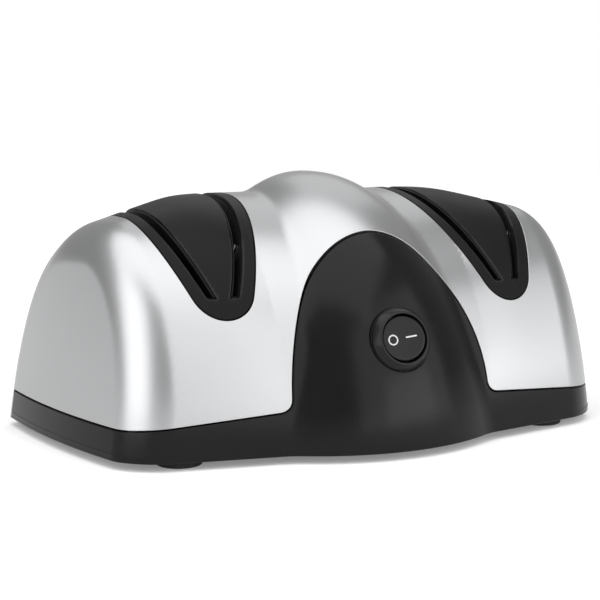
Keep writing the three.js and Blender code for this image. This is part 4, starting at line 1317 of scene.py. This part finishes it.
@dataclass(frozen=True)
class GuideInsert:
    """A black V insert with two slots, their channels, and a thin rail in each slot."""

    side: Side
    gap: float = 0.3
    wall: float = 2.0
    roll: float = 0.38
    plate: float = 1.5
    plate_gap: float = 0.05
    plate_drop: float = 1.2
    floor_drop: float = 1.0
    rail_offset: float = 0.65
    rail_thickness: float = 0.6
    rail_drop: float = 0.6
    rail_roll: float = 0.2
    room_radius: float = 26.6
    room_half: float = 4.9
    worn_edge: float = 0.5
    widths: Span = (31.0, 91.0)
    turns: Span = (50.0, 146.0)
    wall_ys: tuple[float, float, int] = (-48.0, 62.0, 92)
    wall_rises: tuple[float, float, int] = (0.0, 40.0, 34)
    floor_ys: tuple[float, float, int] = (-34.0, 58.0, 60)

    def build(self) -> None:
        """Makes the skin and the channels."""
        widths = sorted(self.side.value * x for x in self.widths)
        sheet = FORM.band(tuple(widths), self.turns, columns=78, rows=160)
        sheet = sheet.trimmed(shrunk(GuideLine(self.side).distance, self.gap), ROLL)
        slots = [SlotLine(self.side, place) for place in SlotPlace]
        for slot in slots:
            sheet = sheet.trimmed(outside(slot.distance), self.roll)
        shape = sheet.shell(self.wall, self.roll)
        name = f"{self.side.word}_guide"
        skin = shape.piece(f"{name}_skin")
        # The slot edges are painted paler over a narrow width: partly blade wear, partly a painted highlight.
        edge = np.min([np.abs(slot.distance(shape.points)) for slot in slots], axis=0)
        mark_wear(skin, np.clip(1 - edge / self.worn_edge, 0, 1))
        install(skin, SATIN, [f"{name}_insert"])
        for slot in slots:
            walls = self.wall_of(slot, slot.half_width + self.plate_gap, self.plate, self.plate_drop)
            inner = self.wall_of(slot, -slot.half_width - self.plate_gap, self.plate, self.plate_drop)
            walls = walls.with_shape(inner).with_shape(self.rail(slot)).with_shape(self.floor_of(slot))
            install(walls.piece(f"{name}_{slot.place.word}_channel"), SATIN)

    def room(self, points: Array) -> Array:
        """Returns the distance from the room that the wheel turns in."""
        round_part = barrel(WHEEL[1:], self.room_radius, (1, 2))(points)
        flat_part = np.abs(points[:, 0] - self.side.value * WHEEL[0]) - self.room_half
        return np.maximum(round_part, flat_part)

    def wall_of(
        self, slot: SlotLine, across: float, thickness: float, depth: float, roll: float = 0.0
    ) -> Shape:
        """Returns a channel wall.

        Args:
            slot: the slot that it lines.
            across: the distance of its face from the slot's middle, with its sign.
            thickness: the wall's thickness, away from the slot.
            depth: how far under the skin's outside its top lies.
            roll: the radius of its top edge.

        Returns:
            The wall as a closed shape.
        """
        ys, rises = np.linspace(*self.wall_ys), np.linspace(*self.wall_rises)
        grid = np.array([[slot.spot(y, rise, across) for rise in rises] for y in ys])
        facing = np.cross([0.0, 1.0, 0.0], grid[0, -1] - grid[0, 0])
        toward = -math.copysign(1.0, across) * slot.side.value * slot.place.value
        facing = facing * math.copysign(1.0, facing[0] * toward)
        sheet = Sheet.over(PlaneSurface(tuple(grid[0, 0]), tuple(facing)), grid)
        sheet = sheet.trimmed(shrunk(FORM.distance, depth), roll)
        if across < 0:
            sheet = sheet.trimmed(outside(self.room))
        return sheet.shell(thickness, roll, steps=3)

    def rail(self, slot: SlotLine) -> Shape:
        """Returns the thin rail that stands in the slot, beside its wall next to the wheel."""
        return self.wall_of(slot, -self.rail_offset, self.rail_thickness, self.rail_drop, self.rail_roll)

    def floor_of(self, slot: SlotLine) -> Shape:
        """Returns the channel's floor, ahead of the wheel's room and behind it."""
        across = [share * (slot.half_width + self.plate_gap) for share in (-1.0, -0.3, 0.3, 1.0)]
        grid = np.array([[slot.spot(y, 0.0, a) for a in across] for y in np.linspace(*self.floor_ys)])
        sheet = Sheet.over(PlaneSurface(tuple(grid[0, 0]), (0.0, 0.0, 1.0)), grid)
        sheet = sheet.trimmed(shrunk(FORM.distance, self.floor_drop)).trimmed(outside(self.room))
        return sheet.shell(self.plate)


@dataclass(frozen=True)
class SpringLeaf(Surface):
    """A blade spring: a polished strip, rooted in the slot's outer wall at its front, that curves inwards."""

    side: Side
    place: SlotPlace
    root_y: float = -12.0
    length: float = 46.0
    rise: float = 10.5
    width: float = 7.0
    thickness: float = 0.46
    face: float = 1.55
    toe: float = math.radians(2.0)
    lip: float = 0.35
    lip_start: float = 0.9
    corner: float = 1.2
    net: tuple[int, int] = (64, 9)

    def inward(self, y: Array) -> Array:
        """Returns how far the strip stands off the wall at a depth, bent like a strip held at its root."""
        share = np.clip((y - self.root_y) / self.length, 0, 1)
        curve = (3 * share**2 - share**3) / 2
        lip = self.lip * np.clip((share - self.lip_start) / (1 - self.lip_start), 0, 1) ** 2
        return self.length * math.sin(self.toe) * curve - lip

    def slot(self) -> SlotLine:
        """Returns the slot that the spring is in."""
        return SlotLine(self.side, self.place)

    def spot(self, y: float, along: float) -> Spot:
        """Returns a place on the strip's face towards its wall."""
        slot = self.slot()
        rise = self.rise + along * math.cos(slot.tilt)
        return slot.spot(y, rise, self.face - float(self.inward(np.array(y))))

    def settle(self, points: Array) -> Array:
        """Returns the points as they are, because the grid lies on the strip."""
        return points

    def normals(self, points: Array, step: float = 0.2) -> Array:
        """Returns the normals of the face towards the wall."""
        bend = (self.inward(points[:, 1] + step) - self.inward(points[:, 1] - step)) / (2 * step)
        across, up = math.cos(self.slot().tilt), math.sin(self.slot().tilt)
        way = self.side.value * self.place.value
        return unit(np.stack([np.full_like(bend, way * across), bend, np.full_like(bend, -up)], 1))

    def build(self) -> None:
        """Makes the strip with rounded ends and puts it on its own body."""
        rows = []
        for y in np.linspace(self.root_y, self.root_y + self.length, self.net[0]):
            end = min(y - self.root_y, self.root_y + self.length - y)
            trim = self.corner - math.sqrt(max(self.corner**2 - max(self.corner - end, 0) ** 2, 0))
            places = np.linspace(trim, self.width - trim, self.net[1])
            rows.append([self.spot(y, along) for along in places])
        name = f"{self.side.word}_{self.place.word}"
        made = Sheet.over(self, np.array(rows)).shell(self.thickness).piece(f"{name}_spring_leaf")
        install(made, SPRING, [f"{name}_blade_spring"], Carrier(f"{name}_spring"))


@dataclass(frozen=True)
class RockerSwitch:
    """The round rocker switch: a bezel, a dished rocker and its two printed marks."""

    seat: SwitchSeat = field(default_factory=SwitchSeat)
    bezel_radius: float = 11.98
    bezel_height: float = 3.28
    bezel_foot: float = 0.3
    bezel_fillet: float = 0.45
    slope_foot: Span = (0.35, 1.0)
    rim_radius: float = 9.9
    well_radius: float = 9.1
    well_depth: float = 3.5
    body_depth: float = 12.8
    rocker_radius: float = 8.4
    rocker_rise: float = 3.38
    rocker_depth: float = 2.3
    dish: float = 0.5
    round_over: float = 0.8
    tilt: float = math.radians(8.0)
    mark_turn: float = math.radians(4.0)
    mark_proud: float = 0.03
    mark_root: float = 0.05
    off_x: float = 4.1
    on_x: float = 3.1
    on_y: float = 0.2
    sides: int = 128

    def build(self) -> None:
        """Makes the bezel, the rocker and the marks."""
        body, top, foot, well = self.seat.body_radius, self.bezel_height, self.bezel_foot, -self.well_depth
        slope = (self.bezel_radius - self.slope_foot[0], self.slope_foot[1])
        outline = (
            (0.0, well), (self.well_radius, well), (self.well_radius, top), (self.rim_radius, top), slope,
            (self.bezel_radius, foot), (body, foot), (body, -self.body_depth), (0.0, -self.body_depth),
        )
        bezel = Turning(outline, self.seat.seat(), self.bezel_fillet, self.sides).build("switch_bezel")
        install(bezel, GLOSS, ["switch_body"])
        install(self.rocker(), GLOSS, ["switch_rocker"], Carrier.ROCKER)
        install(self.ring_mark(), PRINT, (), Carrier.ROCKER)
        install(self.bar_mark(), PRINT, (), Carrier.ROCKER)

    def height(self, x: Array, radius: Amount) -> Array:
        """Returns the height of the rocker's face: dished across, and rounded over at its rim."""
        face = self.rocker_rise - self.dish * (1 - (x / self.rocker_radius) ** 2)
        over = np.clip(radius - (self.rocker_radius - self.round_over), 0, self.round_over)
        return face - self.round_over + np.sqrt(self.round_over**2 - over**2)

    def rocker(self, bands: int = 12, steps: int = 6) -> bpy.types.Object:
        """Returns the rocker: its dished face and round rim, over a tapered underside."""
        inner = self.rocker_radius - self.round_over
        radii = [inner * k / bands for k in range(bands + 1)]
        radii += [inner + self.round_over * math.sin(0.5 * math.pi * k / steps) for k in range(1, steps + 1)]
        rings = [circle(radius, 0.0, self.sides) for radius in radii]
        for ring, radius in zip(rings, radii):
            ring[:, 2] = self.height(ring[:, 0], radius)
        rings.append(circle(self.rocker_radius, -self.rocker_depth / 2, self.sides))
        rings += [circle(radius, -self.rocker_depth, self.sides) for radius in (self.rocker_radius / 2, 0.0)]
        return add_loft("rocker_cap", [self.seat.seat(self.tilt).put(ring) for ring in rings])

    def printed(self, name: str, flat: Array, faces: Sequence[Sequence[int]]) -> bpy.types.Object:
        """Returns a mark laid on the rocker's face, a hair proud of it.

        Args:
            name: the mark's name.
            flat: its points across the face.
            faces: its faces.

        Returns:
            The mark as a closed mesh.
        """
        c, s = math.cos(self.mark_turn), math.sin(self.mark_turn)
        x, y = flat[:, 0] * c - flat[:, 1] * s, flat[:, 0] * s + flat[:, 1] * c
        low = self.height(x, np.hypot(x, y))
        levels = (low + self.mark_proud, low - self.mark_root)
        size = len(flat)
        sides = [(a, b) for face in faces for a, b in zip(face, (*face[1:], face[0]))]
        full = [*faces, *([i + size for i in face[::-1]] for face in faces)]
        full += [(b, a, a + size, b + size) for a, b in sides if (b, a) not in set(sides)]
        points = np.vstack([np.stack([x, y, level], 1) for level in levels])
        return add_mesh(name, self.seat.seat(self.tilt).put(points), full)

    def ring_mark(self, radius: float = 1.7, line: float = 0.5, sides: int = 64) -> bpy.types.Object:
        """Returns the O that marks off."""
        rings = [circle(reach, 0.0, sides)[:, :2] for reach in (radius - line / 2, radius + line / 2)]
        faces = [(i, sides + i, sides + (i + 1) % sides, (i + 1) % sides) for i in range(sides)]
        return self.printed("mark_off", np.vstack(rings) - np.array([self.off_x, 0.0]), faces)

    def bar_mark(self, length: float = 4.4, line: float = 0.55, steps: int = 8) -> bpy.types.Object:
        """Returns the bar that marks on, with round ends."""
        half, outline = length / 2 - line / 2, []
        for end in (1, -1):
            for k in range(steps + 1):
                angle = -math.pi / 2 + math.pi * k / steps
                outline.append((end * (half + line / 2 * math.cos(angle)), end * line / 2 * math.sin(angle)))
        flat = np.array(outline) + np.array([self.on_x, self.on_y])
        return self.printed("mark_on", flat, [tuple(range(len(flat)))])


@dataclass(frozen=True)
class Feet:
    """Four round rubber feet."""

    radius: float = 8.5
    height: float = 2.85
    tread: float = 6.4
    groove_half: float = 0.6
    groove_floor: float = 0.3
    groove_depth: float = 0.35
    chamfer: Span = (0.3, 0.5)
    taper: float = 0.15

    def build(self) -> None:
        """Makes each foot, with a shallow groove round its tread."""
        r, h, t, deep = self.radius, self.height, self.tread, self.groove_depth
        wide, flat = self.groove_half, self.groove_floor
        outline = ((0.0, 0.0), (t - wide, 0.0), (t - flat, deep), (t + flat, deep), (t + wide, 0.0))
        outline += ((r - self.chamfer[0], 0.0), (r, self.chamfer[1]), (r - self.taper, h), (0.0, h))
        for corner, x, y in FOOT_PLACES:
            foot = Turning(outline, Seat((x, y, 0.0)), fillet=0.25, sides=64)
            install(foot.build(f"foot_{corner}"), RUBBER, [f"{corner}_foot"])


@dataclass(frozen=True)
class CaseScrews:
    """Four case screws from below, with a cross recess in each head."""

    head_z: float = 3.15
    head_top_z: float = 5.05
    head_radius: float = 3.15
    dome: tuple[Span, ...] = ((0.78, 0.08), (0.94, 0.3), (1.0, 0.75))
    shank_radius: float = 1.55
    length: float = 11.9
    recess_reach: float = 1.9
    recess_half: float = 0.42
    recess_depth: float = 1.1
    recess_taper: float = 0.7

    def build(self) -> None:
        """Makes each screw: a cross-cut face in a domed head, over a plain shank."""
        a, b = self.recess_reach, self.recess_half
        quarter = np.array([(a, -b), (a, b), (b, b)])
        turns = [np.array([(c, s), (-s, c)]) for c, s in ((1, 0), (0, 1), (-1, 0), (0, -1))]
        cross = np.vstack([quarter @ turn for turn in turns])
        ways = unit(cross)
        end = self.head_top_z + self.length
        rings = [(cross * self.recess_taper, self.head_z + self.recess_depth), (cross, self.head_z)]
        rings += [(ways * share * self.head_radius, self.head_z + rise) for share, rise in self.dome]
        rings.append((ways * self.head_radius, self.head_top_z))
        rings += [(ways * self.shank_radius, level) for level in (self.head_top_z, end)]
        spots = [np.column_stack([flat, np.full(len(flat), level)]) for flat, level in rings]
        for corner, x, y in SCREW_PLACES:
            seat = Seat((x, y, 0.0))
            made = add_loft(f"case_screw_{corner}", [seat.put(ring) for ring in spots])
            install(made, STEEL, [f"{corner}_case_screw"])


@dataclass(frozen=True)
class InletBush:
    """The ribbed rubber bush in the rear wall, open for a cord."""

    outer: float = 5.95
    bore: float = 3.6
    lead_in: Span = (0.5, 0.8)
    groove: tuple[float, float, float, float] = (4.6, 4.75, 5.0, 5.15)
    groove_depth: float = 0.45
    flange: float = 8.4
    flange_from: float = 3.1
    flange_to: float = 5.1
    length: float = 7.95
    rear_y: float = 61.68

    def build(self) -> None:
        """Makes the bush, with its flange inside the wall."""
        origin = (INLET[0], self.rear_y, INLET[1])
        seat = Seat(origin, right=(-1.0, 0.0, 0.0), up=(0.0, 0.0, 1.0), out=(0.0, 1.0, 0.0))
        r, f, mouth = self.outer, self.flange, self.bore + self.lead_in[0]
        low, high = -self.flange_to, -self.flange_from
        outline = [(mouth, 0.0), *zip(self.groove, (0.0, -self.groove_depth, -self.groove_depth, 0.0))]
        outline += [(r, 0.0), (r, high), (f, high), (f, low), (r, low), (r, -self.length)]
        outline += [(self.bore, -self.length), (self.bore, -self.lead_in[1]), (mouth, 0.0)]
        install(Turning(outline, seat, sides=64).build("inlet_bush"), RUBBER, ["cord_gland"])


@dataclass(frozen=True)
class GrindingWheels:
    """The two grinding wheels on the shaft, coarse at the left and fine at the right."""

    radius: float = 24.95
    half: float = 3.28
    bore: float = 3.15
    chamfer: float = 0.8
    dish: float = 11.0
    dish_slope: float = 0.5
    dish_depth: float = 0.4

    def build(self) -> None:
        """Makes each wheel, with a shallow recess round its hub."""
        r, h, c, d = self.radius, self.half, self.chamfer, self.dish
        hub, low = d - self.dish_slope, h - self.dish_depth
        outline = [(self.bore, -low), (hub, -low), (d, -h), (r - c, -h), (r, -h + c), (r, h - c)]
        outline += [(r - c, h), (d, h), (hub, low), (self.bore, low), (self.bore, -low)]
        for side, finish, name in ((Side.LEFT, COARSE, "coarse"), (Side.RIGHT, FINE, "fine")):
            origin = (side.value * WHEEL[0], *WHEEL[1:])
            seat = Seat(origin, right=(0.0, 1.0, 0.0), up=(0.0, 0.0, 1.0), out=(1.0, 0.0, 0.0))
            made = Turning(outline, seat, sides=128).build(f"{name}_wheel")
            install(made, finish, [f"{name}_grinding_wheel"], Carrier.ROTOR)


@dataclass(frozen=True)
class InnerWorks:
    """The motor, the drive line and the wiring, which keep their solids and get their finishes."""

    finishes: tuple[Finish, ...] = (
        SILVER, BLACK, SATIN, RUBBER, STEEL, SPRING, CORE, COPPER, BRASS, COARSE, FINE, NYLON, BLUE, BROWN,
    )

    def build(self) -> None:
        """Gives each node the finish of its slot in the record."""
        by_slot = {finish.slot: finish for finish in self.finishes}
        rows = frame["record"]["subparts"]
        finishes = {row["node"]: by_slot[row["material_slot"]] for row in rows}
        for name, made in frame["nodes"].items():
            made.data.materials.clear()
            made.data.materials.append(finishes[name].material())
            log.info("%s: %s", name, finishes[name].name)


# Studio


@dataclass(frozen=True)
class Softbox:
    """An area lamp, aimed at the sharpener."""

    name: str
    turn: float
    rise: float
    size: Span
    glow: float
    distance: float = 1.2
    aim: Spot = (0.0, 0.0, 0.05)

    def build(self) -> None:
        """Makes the lamp. Its turn goes from the front to the right, in degrees, and a glow of 1 is white."""
        turn, rise = math.radians(self.turn), math.radians(self.rise)
        away = Vector((math.sin(turn) * math.cos(rise), -math.cos(turn) * math.cos(rise), math.sin(rise)))
        lamp = bpy.data.lights.new(self.name, "AREA")
        lamp.shape = "RECTANGLE"
        lamp.size, lamp.size_y = self.size
        lamp.energy = math.pi * self.size[0] * self.size[1] * self.glow
        made = add_object(self.name, lamp)
        made.location = Vector(self.aim) + away * self.distance
        made.rotation_euler = (-away).to_track_quat("-Z", "Y").to_euler()


@dataclass(frozen=True)
class Studio:
    """A white table in an even white room, soft lamps and the camera. Places are in metres."""

    camera_place: Spot = (-0.2742, -0.5327, 0.1372)
    camera_way: Spot = (0.433, 0.890, -0.143)
    lens: float = 91.87
    sensor: float = 36.0
    table_reach: float = 1.2
    table_colour: tuple[float, float, float] = (0.88, 0.88, 0.88)
    table_steps: int = 8
    table_z: float = -0.02
    table_glow: float = 0.2
    fibre: float = 3.0
    fibre_dark: float = 0.985
    far_glow: float = 0.75
    near_edge: float = 150.0
    far_edge: float = 1200.0
    room_light: float = 0.1
    upper_room: float = 0.4
    horizon: Span = (0.05, 0.17)
    white: Spot = (1.0, 1.0, 1.0)
    lamps: tuple[Softbox, ...] = (
        Softbox("front_softbox", 28.0, 21.0, (1.56, 1.1), 1.7),
        Softbox("low_softbox", 30.0, 7.0, (0.74, 0.4), 1.9),
        Softbox("left_softbox", -66.0, 20.0, (0.72, 1.16), 2.75),
        Softbox("top_softbox", -42.0, 80.0, (1.8, 1.3), 2.15),
        Softbox("rear_softbox", 148.0, 44.0, (0.8, 0.8), 0.75),
    )

    def build(self) -> None:
        """Makes the table, the room, the lamps and the camera."""
        self.table()
        self.room()
        for lamp in self.lamps:
            lamp.build()
        camera = bpy.data.cameras.new("camera")
        camera.lens, camera.sensor_width = self.lens, self.sensor
        made = add_object("camera", camera)
        made.location = self.camera_place
        made.rotation_euler = Vector(self.camera_way).to_track_quat("-Z", "Y").to_euler()
        bpy.context.scene.camera = made
        bpy.context.scene.view_settings.view_transform = "Standard"

    def seen(self, tree: ShaderTree) -> Signal:
        """Returns 1 for rays that see the background directly, in gloss or through glass."""
        kinds = ("Camera", "Glossy", "Transmission")
        direct, gloss, glass = (tree.node("ShaderNodeLightPath", output=f"Is {kind} Ray") for kind in kinds)
        return tree.math("MINIMUM", direct + gloss + glass, 1.0)

    def table(self) -> None:
        """Makes the table: it keeps the shadow, and glows enough to read white where it is seen."""
        row = self.table_steps + 1
        steps = np.linspace(-self.table_reach / METRES, self.table_reach / METRES, row)
        points = np.array([(x, y, self.table_z) for x in steps for y in steps])
        starts = [row * i + j for i in range(self.table_steps) for j in range(self.table_steps)]
        made = add_mesh("table", points, [(k, k + row, k + row + 1, k + 1) for k in starts])
        paper = bpy.data.materials.new("white_table")
        paper.use_nodes = True
        tree = ShaderTree(paper.node_tree)
        darker = [part * self.fibre_dark for part in self.table_colour]
        colour = tree.blend(tree.noise(self.fibre, detail=3.0), darker, self.table_colour)
        matt = tree.node("ShaderNodeBsdfDiffuse", None, {"Color": colour})
        spread = tree.node("ShaderNodeVectorMath", {"operation": "LENGTH"}, {0: tree.place()}, "Value")
        share = spread.between(self.near_edge, self.far_edge)
        strength = share * (self.far_glow - self.table_glow) + self.table_glow
        sockets = {"Color": self.white, "Strength": self.seen(tree) * strength}
        glow = tree.node("ShaderNodeEmission", None, sockets)
        both = tree.node("ShaderNodeAddShader", None, {0: matt, 1: glow})
        tree.node("ShaderNodeOutputMaterial", None, {"Surface": both})
        made.data.materials.append(paper)

    def room(self) -> None:
        """Makes the room: white round the table where it is seen and dimmer above, with a low even light."""
        world = bpy.data.worlds.new("white_room")
        world.use_nodes = True
        tree = ShaderTree(world.node_tree)
        way = tree.node("ShaderNodeTexCoord", output="Generated")
        height = tree.node("ShaderNodeSeparateXYZ", None, {0: way}, "Z")
        white = 1.0 - height.between(*self.horizon) * (1.0 - self.upper_room)
        strength = self.seen(tree) * (white - self.room_light) + self.room_light
        sky = tree.node("ShaderNodeBackground", None, {"Color": self.white, "Strength": strength})
        tree.node("ShaderNodeOutputWorld", None, {"Surface": sky})
        bpy.context.scene.world = world


def main() -> None:
    """Builds the sharpener and its studio in order."""
    logging.basicConfig(level=logging.INFO, format="%(name)s %(message)s")
    Studio().build()
    InnerWorks().build()
    form = FORM.whole()
    log.info("outer form: %d points", len(form.points))
    UpperShell().build(form)
    LowerHousing().build(form)
    for side in Side:
        GuideInsert(side).build()
        for place in SlotPlace:
            SpringLeaf(side, place).build()
    RockerSwitch().build()
    Feet().build()
    CaseScrews().build()
    InletBush().build()
    GrindingWheels().build()


if __name__ == "__main__":
    main()
